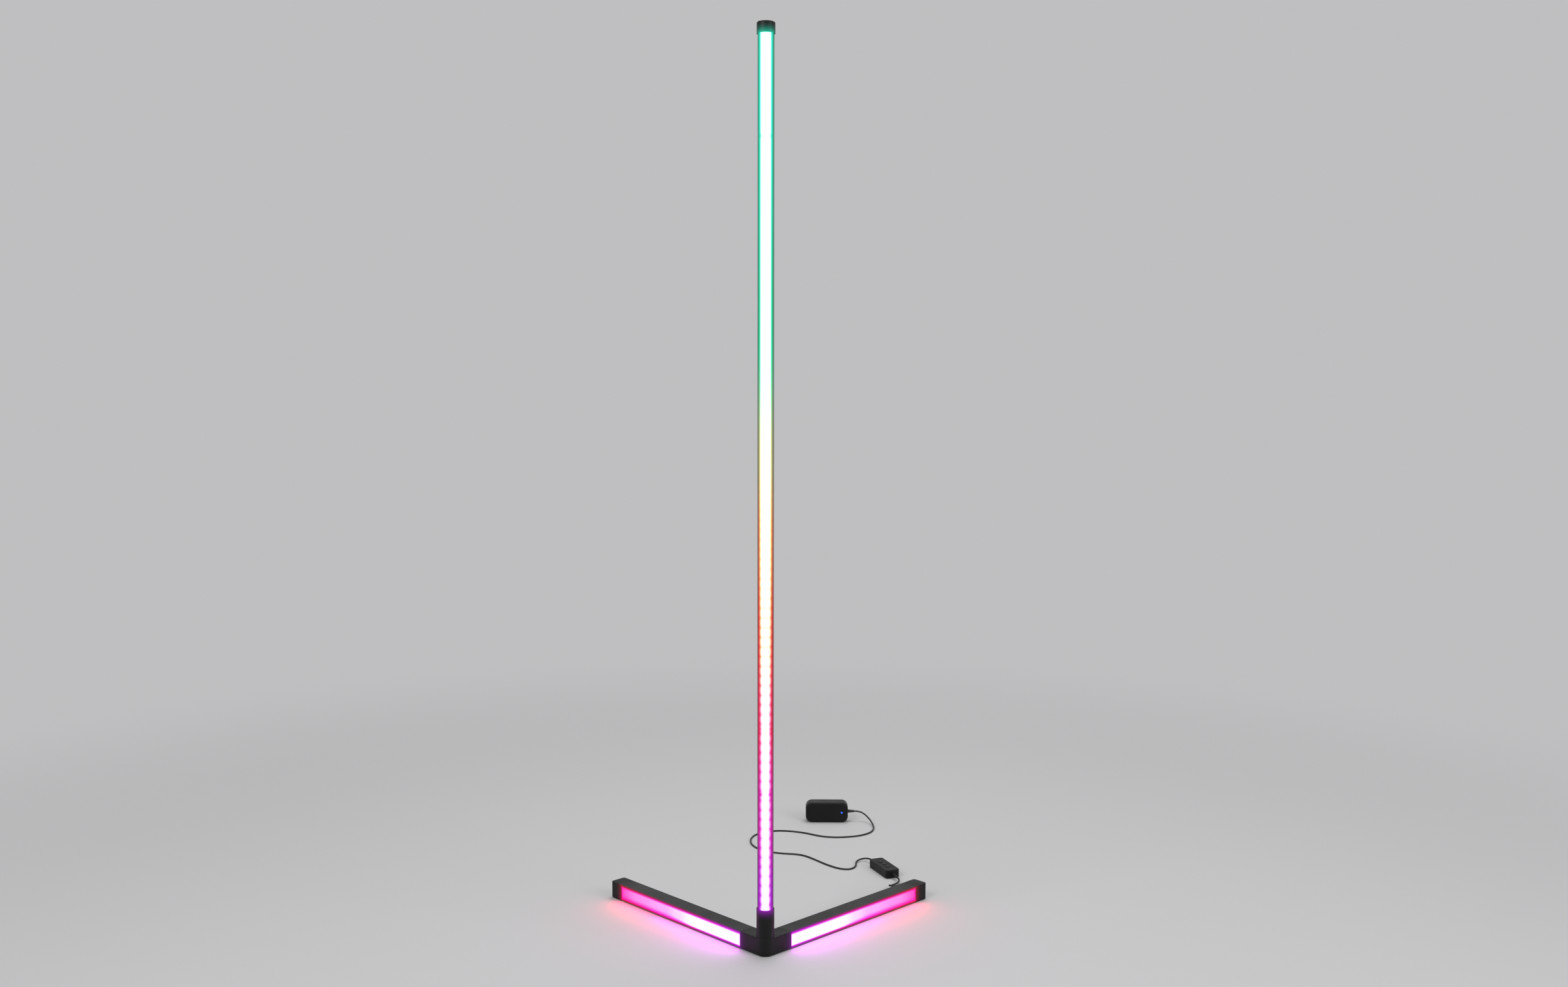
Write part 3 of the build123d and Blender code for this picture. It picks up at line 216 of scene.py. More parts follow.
class LampLight(bpy.types.PropertyGroup):
    """Colours and strength of the light in the covers."""
    pole_strength: FloatProperty(name="Pole", description="Light given off by the pole's cover",
                                 default=1.8, min=0.1)
    bar_strength: FloatProperty(name="Bars", description="Light given off by the bars' covers",
                                default=2.6, min=0.1)
    edge: FloatProperty(name="Edges", description="Brightness of the covers' coloured edges",
                        default=1.1, min=0)
    # Strength of the light painted on the black edges beside the covers
    spill: FloatProperty(name="Edge spill", description="Light on the black edges beside the covers",
                         default=0.7, min=0)
    pool: FloatProperty(name="Pool", description="Light that a third of a bar throws on the floor",
                        default=0.11, min=0, unit="POWER")
    ripple: FloatProperty(name="Ripple", default=0.0013, min=0, subtype="DISTANCE", unit="LENGTH",
                          description="How far the bright core swells at each LED, low on the pole")
    top: colour_property("Top", "Edge of the pole's cover at the top", linear(14, 205, 168))
    upper: colour_property("Upper", "Edge of the pole's cover in the upper part", linear(18, 188, 138))
    middle: colour_property("Middle", "Edge of the pole's cover at half height", linear(158, 154, 106))
    low: colour_property("Low", "Edge of the pole's cover under the middle", linear(204, 106, 66))
    lower: colour_property("Lower", "Edge of the pole's cover at a third of its height", linear(214, 44, 46))
    knee: colour_property("Knee", "Edge of the pole's cover above the base", linear(212, 6, 76))
    calf: colour_property("Calf", "Edge of the pole's cover below the knee", linear(190, 6, 150))
    foot: colour_property("Foot", "Edge of the pole's cover at the socket", linear(158, 5, 186))
    bar_hub: colour_property("Bar at the hub", "Edge of the bars' covers at the hub", linear(208, 30, 222))
    bar_middle: colour_property("Bar middle", "Edge of the bars' covers half way", linear(238, 28, 206))
    bar_end: colour_property("Bar end", "Edge of the bars' covers at the far end", linear(248, 8, 158))
    # Colours of the light painted on the bars' lips and end caps; they also colour the pool lamps on the
    # floor
    lip_hub: colour_property("Lip at the hub", "Light on the bars' lips at the hub", linear(196, 6, 205))
    lip_middle: colour_property("Lip middle", "Light on the bars' lips half way", linear(218, 4, 136))
    lip_end: colour_property("Lip end", "Light on the bars' lips at the far end", linear(226, 5, 66))
    indicator: colour_property("Indicator", "Indicator lens of the adapter", linear(40, 90, 255))


class LampFinish(bpy.types.PropertyGroup):
    """Colours of the housings, and the leads' thickness."""
    plastic: colour_property("Plastic", "Moulded black plastic", (0.007, 0.007, 0.0075))
    aluminium: colour_property("Aluminium", "Black anodised channels", (0.008, 0.008, 0.0085))
    rubber: colour_property("Rubber", "Foot pads", (0.014, 0.014, 0.014))
    jacket: colour_property("Jacket", "Jacket of the leads", (0.008, 0.008, 0.0085))
    button: colour_property("Button", "Keys of the controller", (0.040, 0.040, 0.043))
    steel: colour_property("Steel", "Bracket, washer and nut", (0.56, 0.56, 0.57))
    lead_diameter: FloatProperty(name="Lead", description="Diameter of the leads", default=0.0035, min=0.001,
                                 subtype="DISTANCE", unit="LENGTH")


class LampStage(bpy.types.PropertyGroup):
    """Floor and studio light."""
    floor: colour_property("Floor", "Pale plain floor", (0.62, 0.62, 0.63))
    backdrop: colour_property("Backdrop", "Pale backdrop that the floor fades into", (0.52, 0.52, 0.53))
    key: FloatProperty(name="Key light", description="Large soft light, front left",
                       default=46, min=0, unit="POWER")
    fill: FloatProperty(name="Fill light", description="Large soft light, front right",
                        default=26, min=0, unit="POWER")
    top: FloatProperty(name="Top light", description="Soft light overhead", default=40, min=0, unit="POWER")
    ambient: FloatProperty(name="Ambient", description="Even light from all round", default=0.30, min=0)


def shade(colour, factor):
    """A darker or lighter shade of a colour."""
    return tuple(min(1.0, part * factor) for part in colour)


class Wiring:
    """A material under construction: adds nodes and joins them."""

    def __init__(self, name):
        self.material = bpy.data.materials.new(name)
        self.material.use_nodes = True
        self.tree = self.material.node_tree
        self.surface = self.tree.nodes["Principled BSDF"]

    def feed(self, socket, value):
        """Joins a socket to another node's output, or sets it to a plain value."""
        if isinstance(value, bpy.types.NodeSocket):
            self.tree.links.new(value, socket)
        elif hasattr(socket.default_value, "__len__") and len(socket.default_value) == 4 and len(value) == 3:
            socket.default_value = (*value, 1)
        else:
            socket.default_value = value

    def set(self, **values):
        """Sets inputs of the surface, with underscores for the spaces in their names."""
        for name, value in values.items():
            self.feed(self.surface.inputs[name.replace("_", " ")], value)

    def place(self):
        """The point on the object, in the lamp's frame."""
        return self.tree.nodes.new("ShaderNodeTexCoord").outputs["Object"]

    def leg_place(self, side):
        """The point along and across one leg: along from the pole axis, across toward the inner side."""
        node = self.tree.nodes.new("ShaderNodeMapping")
        node.inputs["Rotation"].default_value = (0, 0, -LEG_TURN)
        node.inputs["Scale"].default_value = (side, 1, 1)
        self.feed(node.inputs["Vector"], self.place())
        return node.outputs["Vector"]

    def scaled(self, vector, scale):
        """The point with each of its parts scaled, which squeezes or stretches the noise that reads it."""
        node = self.tree.nodes.new("ShaderNodeMapping")
        node.inputs["Scale"].default_value = scale
        self.feed(node.inputs["Vector"], vector)
        return node.outputs["Vector"]

    def split(self, vector):
        """The three parts of a point."""
        node = self.tree.nodes.new("ShaderNodeSeparateXYZ")
        self.feed(node.inputs["Vector"], vector)
        return node.outputs["X"], node.outputs["Y"], node.outputs["Z"]

    def math(self, operation, first, second=0.0):
        """One step of arithmetic."""
        node = self.tree.nodes.new("ShaderNodeMath")
        node.operation = operation
        self.feed(node.inputs[0], first)
        self.feed(node.inputs[1], second)
        return node.outputs["Value"]

    def less(self, first, second):
        return self.math("SUBTRACT", first, second)

    def times(self, first, second):
        return self.math("MULTIPLY", first, second)

    def span(self, value, low, high, start=0.0, end=1.0, smooth=True):
        """Maps a value from one span to another."""
        node = self.tree.nodes.new("ShaderNodeMapRange")
        node.interpolation_type = "SMOOTHSTEP" if smooth else "LINEAR"
        self.feed(node.inputs["Value"], value)
        self.feed(node.inputs["From Min"], low)
        self.feed(node.inputs["From Max"], high)
        self.feed(node.inputs["To Min"], start)
        self.feed(node.inputs["To Max"], end)
        return node.outputs["Result"]

    def fade(self, value, low, high, smooth=True):
        """One below the low value, none above the high one."""
        return self.span(value, low, high, 1.0, 0.0, smooth)

    def noise(self, vector, scale, detail=3.0, roughness=0.5):
        node = self.tree.nodes.new("ShaderNodeTexNoise")
        self.feed(node.inputs["Vector"], vector)
        self.feed(node.inputs["Scale"], scale)
        self.feed(node.inputs["Detail"], detail)
        self.feed(node.inputs["Roughness"], roughness)
        return node.outputs["Fac"]

    def uneven(self, noise, lowest, highest):
        """Spreads a noise between two values."""
        return self.span(noise, NOISE_LOW, NOISE_HIGH, lowest, highest)

    def mix(self, factor, first, second, blend="MIX"):
        node = self.tree.nodes.new("ShaderNodeMix")
        node.data_type = "RGBA"
        node.blend_type = blend
        self.feed(node.inputs["Factor"], factor)
        self.feed(node.inputs["A"], first)
        self.feed(node.inputs["B"], second)
        return node.outputs["Result"]

    def shades(self, factor, colour, darkest, lightest):
        """Runs from a darker to a lighter shade of one colour."""
        return self.mix(factor, shade(colour, darkest), shade(colour, lightest))

    def ramp(self, factor, stops):
        """A colour that runs through stops of (place, colour)."""
        node = self.tree.nodes.new("ShaderNodeValToRGB")
        node.color_ramp.interpolation = "EASE"
        marks = node.color_ramp.elements
        while len(marks) < len(stops):
            marks.new(1.0)
        for mark, (place, colour) in zip(marks, stops):
            mark.position = place
            mark.color = (*colour, 1)
        self.feed(node.inputs["Fac"], factor)
        return node.outputs["Color"]

    def bump(self, height, strength, distance):
        node = self.tree.nodes.new("ShaderNodeBump")
        self.feed(node.inputs["Strength"], strength)
        self.feed(node.inputs["Distance"], distance)
        self.feed(node.inputs["Height"], height)
        self.feed(self.surface.inputs["Normal"], node.outputs["Normal"])


def dress(material, *names):
    """Gives nodes of the frame a material."""
    for name in names:
        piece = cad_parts[name]
        if not piece.material_slots:
            piece.data.materials.append(material)
        for slot in piece.material_slots:
            slot.material = material


# Finishes of the housings and of the pieces inside

def moulded_plastic(name, colour, roughness=0.42, grain=0.0006):
    """Satin plastic with a fine moulded grain and a faint mottle."""
    wire = Wiring(name)
    place = wire.place()
    mottle = wire.noise(place, scale=38.0, detail=4.0)
    fine = wire.noise(place, scale=1 / grain, detail=1.0)
    wire.set(Base_Color=wire.shades(mottle, colour, darkest=0.75, lightest=1.35))
    wire.set(Roughness=wire.uneven(mottle, lowest=roughness - 0.05, highest=roughness + 0.07))
    wire.set(Specular_IOR_Level=0.22)
    wire.bump(fine, strength=0.8, distance=0.00014)
    return wire


def anodised(name, colour, leg=0):
    """Black anodised extrusion, with faint die lines along the pole, or along the leg on one side."""
    wire = Wiring(name)
    place = wire.leg_place(leg) if leg else wire.place()
    pole_stretch = (DIE_LINES_ACROSS, DIE_LINES_ACROSS, DIE_LINES_ALONG)
    leg_stretch = (DIE_LINES_ALONG, DIE_LINES_ACROSS, DIE_LINES_ACROSS)
    stretched = wire.scaled(place, leg_stretch if leg else pole_stretch)
    lines = wire.noise(stretched, scale=1.0, detail=3.0, roughness=0.6)
    mottle = wire.noise(place, scale=22.0, detail=3.0)
    wire.set(Base_Color=wire.shades(lines, colour, darkest=0.7, lightest=1.5))
    wire.set(Roughness=wire.uneven(mottle, lowest=0.32, highest=0.42), Specular_IOR_Level=0.28)
    wire.bump(lines, strength=0.12, distance=0.00004)
    return wire


def lead_jacket(name, colour):
    """Limp black jacket with a faint grain."""
    wire = Wiring(name)
    place = wire.place()
    mottle = wire.noise(place, scale=90.0, detail=4.0)
    wire.set(Base_Color=wire.shades(mottle, colour, darkest=0.8, lightest=1.4))
    wire.set(Roughness=wire.uneven(mottle, lowest=0.38, highest=0.52))
    wire.bump(wire.noise(place, scale=1800.0, detail=2.0), strength=0.15, distance=0.00006)
    return wire


def plain(name, colour, roughness, metallic=0.0, mottle_scale=60.0, spread=0.25):
    """A simple finish with a little uneven colour and roughness."""
    wire = Wiring(name)
    mottle = wire.noise(wire.place(), scale=mottle_scale, detail=4.0)
    wire.set(Base_Color=wire.shades(mottle, colour, darkest=1 - spread, lightest=1 + spread))
    wire.set(Roughness=wire.uneven(mottle, lowest=roughness - 0.06, highest=roughness + 0.06))
    wire.set(Metallic=metallic)
    return wire


# Light covers

def pole_edge_stops(light):
    """Edge of the pole's cover, by the share of its lit height."""
    return (
        (0.01, light.foot), (0.11, light.calf), (0.22, light.knee), (0.33, light.lower),
        (0.43, light.low), (0.53, light.middle), (0.66, light.upper), (0.95, light.top),
    )


def bar_edge_stops(light):
    """Edge of a bar's cover, by the share of its run from the hub."""
    return ((0.0, light.bar_hub), (0.5, light.bar_middle), (1.0, light.bar_end))


def lip_stops(light):
    """Painted light on a bar's lips, by the share of its run from the hub."""
    return ((0.0, light.lip_hub), (0.5, light.lip_middle), (1.0, light.lip_end))


def light_cover(wire, strength, edge_level, milk, core, halo, edge, core_light, core_colour):
    """Blends a bright milky core, through its coloured shoulder and its halo, into coloured edges; the edges'
    light is also painted into the base colour as a tint.
    """
    # Painted light: the edges' coloured light, dimmed, tints the cover's base colour
    painted_tint = wire.mix(1.0, edge, (PAINTED_EDGE_TINT,) * 3, "MULTIPLY")
    rim = wire.mix(1.0, edge, (edge_level / strength,) * 3, "MULTIPLY")
    bright = wire.math("MAXIMUM", core, halo)
    wire.set(Base_Color=wire.mix(milk, painted_tint, core_colour))
    wire.set(Emission_Color=wire.mix(bright, rim, core_light), Emission_Strength=strength)
    wire.set(Roughness=0.38, Specular_IOR_Level=0.2)


def draw_marks(wire, place, stretch):
    """Faint marks on a cover, along the way that it was drawn."""
    marks = wire.noise(wire.scaled(place, stretch), scale=700.0, detail=2.0)
    wire.bump(marks, strength=0.08, distance=0.00005)


def led_lobe(wire, z):
    """One at each LED of the pole, none half way between two of them."""
    phase = wire.times(wire.less(z, STRIP_START + LED_PITCH / 2), math.pi / LED_PITCH)
    return wire.math("ABSOLUTE", wire.math("COSINE", phase))


def core_half_width(wire, z, height, lobe, ripple):
    """Half the width of the pole's core, which swells at the LEDs and narrows at the strip's splices."""
    swell = wire.times(wire.less(lobe, LOBE_MEAN), wire.span(height, *RIPPLE_FADES, ripple, 0.0))
    half = wire.math("ADD", wire.span(height, *CORE_WIDENS, CORE_HALF_LOW, CORE_HALF_HIGH), swell)
    for splice, pinch in STRIP_SPLICES:
        away = wire.math("ABSOLUTE", wire.less(z, splice))
        half = wire.less(half, wire.span(away, 0.0, SPLICE_REACH, pinch, 0.0, smooth=False))
    return half


def pole_light(light):
    """Milky cover of the pole: a near-white core between coloured edges, rippled by the LEDs lower down."""
    wire = Wiring("Pole light cover")
    place = wire.place()
    x, _, z = wire.split(place)
    height = wire.span(z, LIT_BOTTOM, LIT_TOP, smooth=False)
    lobe = led_lobe(wire, z)
    half = core_half_width(wire, z, height, lobe, light.ripple)
    beside = wire.less(wire.math("ABSOLUTE", x), half)
    banded = wire.times(wire.span(height, *GAPS_APPEAR), wire.fade(height, *GAPS_VANISH))
    gap = wire.times(wire.span(lobe, 0.0, LED_GAP_SPREAD, LED_GAP_SHADE, 0.0), banded)
    core = wire.less(wire.fade(beside, -CORE_BLEND_IN, CORE_BLEND_OUT), gap)
    milk = wire.less(wire.fade(beside, -CORE_BLEND_IN - SHOULDER, CORE_BLEND_OUT - SHOULDER / 2), gap)
    halo = wire.span(beside, 0.0, HALO_REACH, wire.span(height, *HALO_FADES, HALO_LOW, HALO_HIGH), 0.0)
    light_cover(wire, light.pole_strength, light.edge, milk, core, halo,
                edge=wire.ramp(height, pole_edge_stops(light)),
                core_light=wire.ramp(height, POLE_CORE_LIGHT),
                core_colour=MILKY)
    draw_marks(wire, place, (1, 1, DRAW_MARKS_ALONG))
    return wire.material


def bar_light(light, side, name):
    """Milky cover of one bar: near-white at the hub, lit pink at the far end, with coloured edges all round;
    that pink is also painted into its base colour.
    """
    wire = Wiring(name.capitalize() + " bar light cover")
    place = wire.leg_place(side)
    along, _, z = wire.split(place)
    run = wire.span(along, HUB_ARM, BAR_END, smooth=False)
    depth = wire.span(run, *BAR_LOW_EDGE_DEEPENS, BAR_LOW_EDGE_AT_HUB, BAR_LOW_EDGE_AT_END)
    below = wire.span(wire.less(z, LIT_LOW), 0.0, depth)
    above = wire.span(wire.less(LIT_HIGH, z), *BAR_TOP_EDGE)
    far = wire.span(wire.less(BAR_END, along), *BAR_FAR_EDGE)
    near = wire.span(wire.less(along, HUB_ARM), *BAR_NEAR_EDGE)
    core = wire.times(wire.times(above, below), wire.times(far, near))
    light_cover(wire, light.bar_strength, light.edge, milk=core, core=core, halo=0.0,
                edge=wire.ramp(run, bar_edge_stops(light)),
                core_light=wire.ramp(run, BAR_CORE_LIGHT),
                # Base colour milky at the hub, with the LEDs' pink painted in towards the far end
                core_colour=wire.ramp(run, BAR_CORE_MILK_AND_PAINTED_TINT))
    draw_marks(wire, place, (DRAW_MARKS_ALONG, 1, 1))
    return wire.material


# Light painted on the black edges beside the covers, which glow though they are no lamps

def painted_glow(wire, distance, reach=GLOW_REACH):
    """Painted light that dies away with the distance from a bright edge."""
    return wire.math("POWER", wire.fade(distance, 0.0, reach, smooth=False), GLOW_FALL)


def outer_face(wire, across):
    """One on a leg's outer face, none elsewhere."""
    start, end = FACE_BLEND
    return wire.fade(across, -OUTER_FACE + start, -OUTER_FACE + end)


def paint_spill(wire, mask, colour, strength):
    """Paints coloured light onto a dark surface, as a glow, where the mask says."""
    wire.set(Emission_Color=wire.mix(mask, (0, 0, 0), colour), Emission_Strength=strength)


class LAMP_OT_leads(bpy.types.Operator):
    """Lay the two leads along their routes"""
    bl_idname = "lamp.leads"
    bl_label = "Leads"

    def execute(self, context):
        finish = context.scene.lamp_finish
        jacket = lead_jacket("Lead jacket", finish.jacket).material
        dress(jacket, "lamp_plug", "lamp_lead_relief", "adapter_lead_relief", "adapter_boot")
        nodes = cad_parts
        adapter = [name for name in nodes if name.startswith("adapter_")]
        adapter = [name for name in adapter if not name.startswith("adapter_lead")]
        lamp_lead = self.lay("lamp_lead", LAMP_LEAD_ROUTE, finish.lead_diameter, jacket)
        adapter_lead = self.lay("adapter_lead", ADAPTER_LEAD_ROUTE[::-1], finish.lead_diameter, jacket)
        return {"FINISHED"}

    def lay(self, node, route, diameter, material):
        """A smooth lead along a route, in the place of a node."""
        curve = bpy.data.curves.new(node + "_line", "CURVE")
        curve.dimensions = "3D"
        curve.resolution_u = 10
        curve.bevel_depth = diameter / 2
        curve.bevel_resolution = 5
        spline = curve.splines.new("NURBS")
        spline.points.add(len(route) - 1)
        for point, place in zip(spline.points, route):
            point.co = (*place, 1)
        spline.order_u = 3
        spline.use_endpoint_u = True
        piece = bpy.data.objects.new(node + "_cable", curve)
        bpy.context.scene.collection.objects.link(piece)
        curve.materials.append(material)
        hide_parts(node)
        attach(piece, "lamp")
        return piece


class LAMP_OT_light_covers(bpy.types.Operator):
    """Light the milky covers of the pole and the bars"""
    bl_idname = "lamp.light_covers"
    bl_label = "Light covers"

    def execute(self, context):
        light = context.scene.lamp_light
        dress(pole_light(light), "pole_diffuser")
        for side, name in LEGS:
            dress(bar_light(light, side, name), name + "_bar_diffuser")
        return {"FINISHED"}


class LAMP_OT_channels(bpy.types.Operator):
    """Finish the black channels of the pole and the bars, with light painted beside the covers"""
    bl_idname = "lamp.channels"
    bl_label = "Channels"

    def execute(self, context):
        finish, light = context.scene.lamp_finish, context.scene.lamp_light
        pole = anodised("Pole channel", finish.aluminium)
        _, y, z = pole.split(pole.place())
        height = pole.span(z, LIT_BOTTOM, LIT_TOP, smooth=False)
        # The pole's coloured light painted on the channel's front
        front = pole.fade(y, *CHANNEL_FRONT)
        paint_spill(pole, front, pole.ramp(height, pole_edge_stops(light)), light.spill)
        dress(pole.material, "pole_channel")
        for side, name in LEGS:
            bar = anodised(name.capitalize() + " bar channel", finish.aluminium, leg=side)
            along, across, z = bar.split(bar.leg_place(side))
            run = bar.span(along, HUB_ARM, BAR_END, smooth=False)
            # The bars' light painted on the lips above and below each cover, on the outer face
            beyond = bar.math("MAXIMUM", bar.less(z, LIT_HIGH), bar.less(LIT_LOW, z))
            mask = bar.times(painted_glow(bar, beyond, LIP_GLOW_REACH), outer_face(bar, across))
            paint_spill(bar, mask, bar.ramp(run, lip_stops(light)), light.spill * LIP_SPILL)
            dress(bar.material, name + "_bar_channel")
        return {"FINISHED"}


class LAMP_OT_mouldings(bpy.types.Operator):
    """Finish the hub, the socket, the caps and the feet, with light painted beside the covers"""
    bl_idname = "lamp.mouldings"
    bl_label = "Mouldings"

    def execute(self, context):
        finish, light = context.scene.lamp_finish, context.scene.lamp_light
        self.hub(finish.plastic, light)
        base = moulded_plastic("Base plastic", finish.plastic)
        dress(base.material, "hub_bottom_cover", "dc_jack")
        self.pole_ends(finish.plastic, light)
        for side, name in LEGS:
            end = moulded_plastic(name.capitalize() + " end cap plastic", finish.plastic)
            along, across, _ = end.split(end.leg_place(side))
            # The bars' light painted on the end cap's outer face next to the cover
            mask = end.times(painted_glow(end, end.less(along, BAR_END)), outer_face(end, across))
            paint_spill(end, mask, light.lip_end, light.spill * END_CAP_SPILL)
            dress(end.material, name + "_end_cap")
        rubber = moulded_plastic("Foot rubber", finish.rubber, roughness=0.72, grain=0.0008)
        dress(rubber.material, "hub_foot_pad", "left_foot_pad", "right_foot_pad")
        return {"FINISHED"}

    def hub(self, plastic, light):
        """The hub, with the bars' light painted on both its arms."""
        hub = moulded_plastic("Hub plastic", plastic)
        arms = []
        for side, _ in LEGS:
            along, across, _ = hub.split(hub.leg_place(side))
            arms.append(hub.times(painted_glow(hub, hub.less(HUB_ARM, along)), outer_face(hub, across)))
        paint_spill(hub, hub.math("MAXIMUM", *arms), light.foot, light.spill * HUB_SPILL)
        dress(hub.material, "corner_hub_shell")

    def pole_ends(self, plastic, light):
        """The socket and the cap, with the pole's light painted on their fronts."""
        socket = moulded_plastic("Socket plastic", plastic)
        _, y, z = socket.split(socket.place())
        mask = socket.times(painted_glow(socket, socket.less(LIT_BOTTOM, z)), socket.fade(y, *ROUND_FRONT))
        paint_spill(socket, mask, light.foot, light.spill)
        dress(socket.material, "pole_socket")
        cap = moulded_plastic("Top cap plastic", plastic)
        _, y, z = cap.split(cap.place())
        mask = cap.times(painted_glow(cap, cap.less(z, LIT_TOP)), cap.fade(y, *ROUND_FRONT))
        paint_spill(cap, mask, light.top, light.spill)
        dress(cap.material, "pole_top_cap")


class LAMP_OT_fixings(bpy.types.Operator):
    """Finish the screws, the bracket, the washer and the nut"""
    bl_idname = "lamp.fixings"
    bl_label = "Fixings"

    def execute(self, context):
        finish = context.scene.lamp_finish
        screw = plain("Blackened screw", SCREW_BLACK, roughness=0.36, metallic=0.6, mottle_scale=200.0)
        dress(screw.material, "frame_screws", "hub_cover_screws", "controller_screws")
        steel = plain("Zinc-plated steel", finish.steel, roughness=0.34, metallic=1.0, mottle_scale=120.0,
                      spread=0.12)
        dress(steel.material, "corner_bracket", "socket_washer", "socket_nut")
        return {"FINISHED"}


class LAMP_OT_electronics(bpy.types.Operator):
    """Finish the strips, boards and wires inside"""
    bl_idname = "lamp.electronics"
    bl_label = "Electronics"

    def execute(self, context):
        strip = plain("Strip", STRIP_WHITE, roughness=0.5, mottle_scale=400.0, spread=0.08)
        dress(strip.material, "pole_led_strip", "left_bar_led_strip", "right_bar_led_strip")
        led = plain("LED package", LED_CREAM, roughness=0.25, mottle_scale=900.0, spread=0.1)
        dress(led.material, "pole_leds", "left_bar_leds", "right_bar_leds")
        board = plain("Circuit board", BOARD_GREEN, roughness=0.34, mottle_scale=700.0, spread=0.5)
        dress(board.material, "junction_board", "controller_board", "adapter_board")
        wire = plain("Inner wire", WIRE_WHITE, roughness=0.5, mottle_scale=150.0, spread=0.1)
        dress(wire.material, "pole_wires", "left_bar_wires", "right_bar_wires", "feed_cable")
        switch = plain("Switch", SWITCH_BLACK, roughness=0.4, mottle_scale=300.0)
        dress(switch.material, "tact_switches")
        winding = plain("Transformer tape", TAPE_YELLOW, roughness=0.4, mottle_scale=250.0, spread=0.15)
        dress(winding.material, "adapter_transformer")
        return {"FINISHED"}


class LAMP_OT_controller(bpy.types.Operator):
    """Finish the in-line controller and its keys"""
    bl_idname = "lamp.controller"
    bl_label = "Controller"

    def execute(self, context):
        finish = context.scene.lamp_finish
        case = moulded_plastic("Controller plastic", finish.plastic, roughness=0.46, grain=0.0005)
        dress(case.material, "controller_case_top", "controller_case_bottom")
        key = moulded_plastic("Key rubber", finish.button, roughness=0.6, grain=0.0004)
        dress(key.material, "power_button", "mode_button", "speed_button")
        return {"FINISHED"}


class LAMP_OT_adapter(bpy.types.Operator):
    """Finish the adapter, its pins and its indicator"""
    bl_idname = "lamp.adapter"
    bl_label = "Adapter"

    def execute(self, context):
        finish, light = context.scene.lamp_finish, context.scene.lamp_light
        case = moulded_plastic("Adapter plastic", finish.plastic, roughness=0.36, grain=0.0006)
        dress(case.material, "adapter_front_case", "adapter_back_case")
        self.pins(finish.plastic)
        self.indicator(light.indicator)
        return {"FINISHED"}

    def pins(self, plastic):
        """Nickel pins with a plastic sleeve next to the nose."""
        pin = Wiring("Pin")
        place = pin.place()
        _, y, _ = pin.split(place)
        sleeve_end = NOSE_END + PIN_SLEEVE
        bare = pin.span(y, sleeve_end - PIN_SLEEVE_BLEND, sleeve_end + PIN_SLEEVE_BLEND, smooth=False)
        rub = pin.noise(place, scale=500.0, detail=4.0)
        metal = pin.mix(rub, NICKEL_DULL, NICKEL_BRIGHT)
        pin.set(Base_Color=pin.mix(bare, plastic, metal), Metallic=bare)
        pin.set(Roughness=pin.span(bare, 0.0, 1.0, start=0.45, end=0.22, smooth=False))
        dress(pin.material, "adapter_pins")

    def indicator(self, colour):
        """A lit lens, a little hazy."""
        lens = Wiring("Indicator lens")
        haze = lens.noise(lens.place(), scale=600.0, detail=2.0)
        lit = lens.shades(haze, colour, darkest=0.8, lightest=1.0)
        lens.set(Base_Color=lit, Emission_Color=lit, Emission_Strength=1.6, Roughness=0.15)
        dress(lens.material, "adapter_indicator")


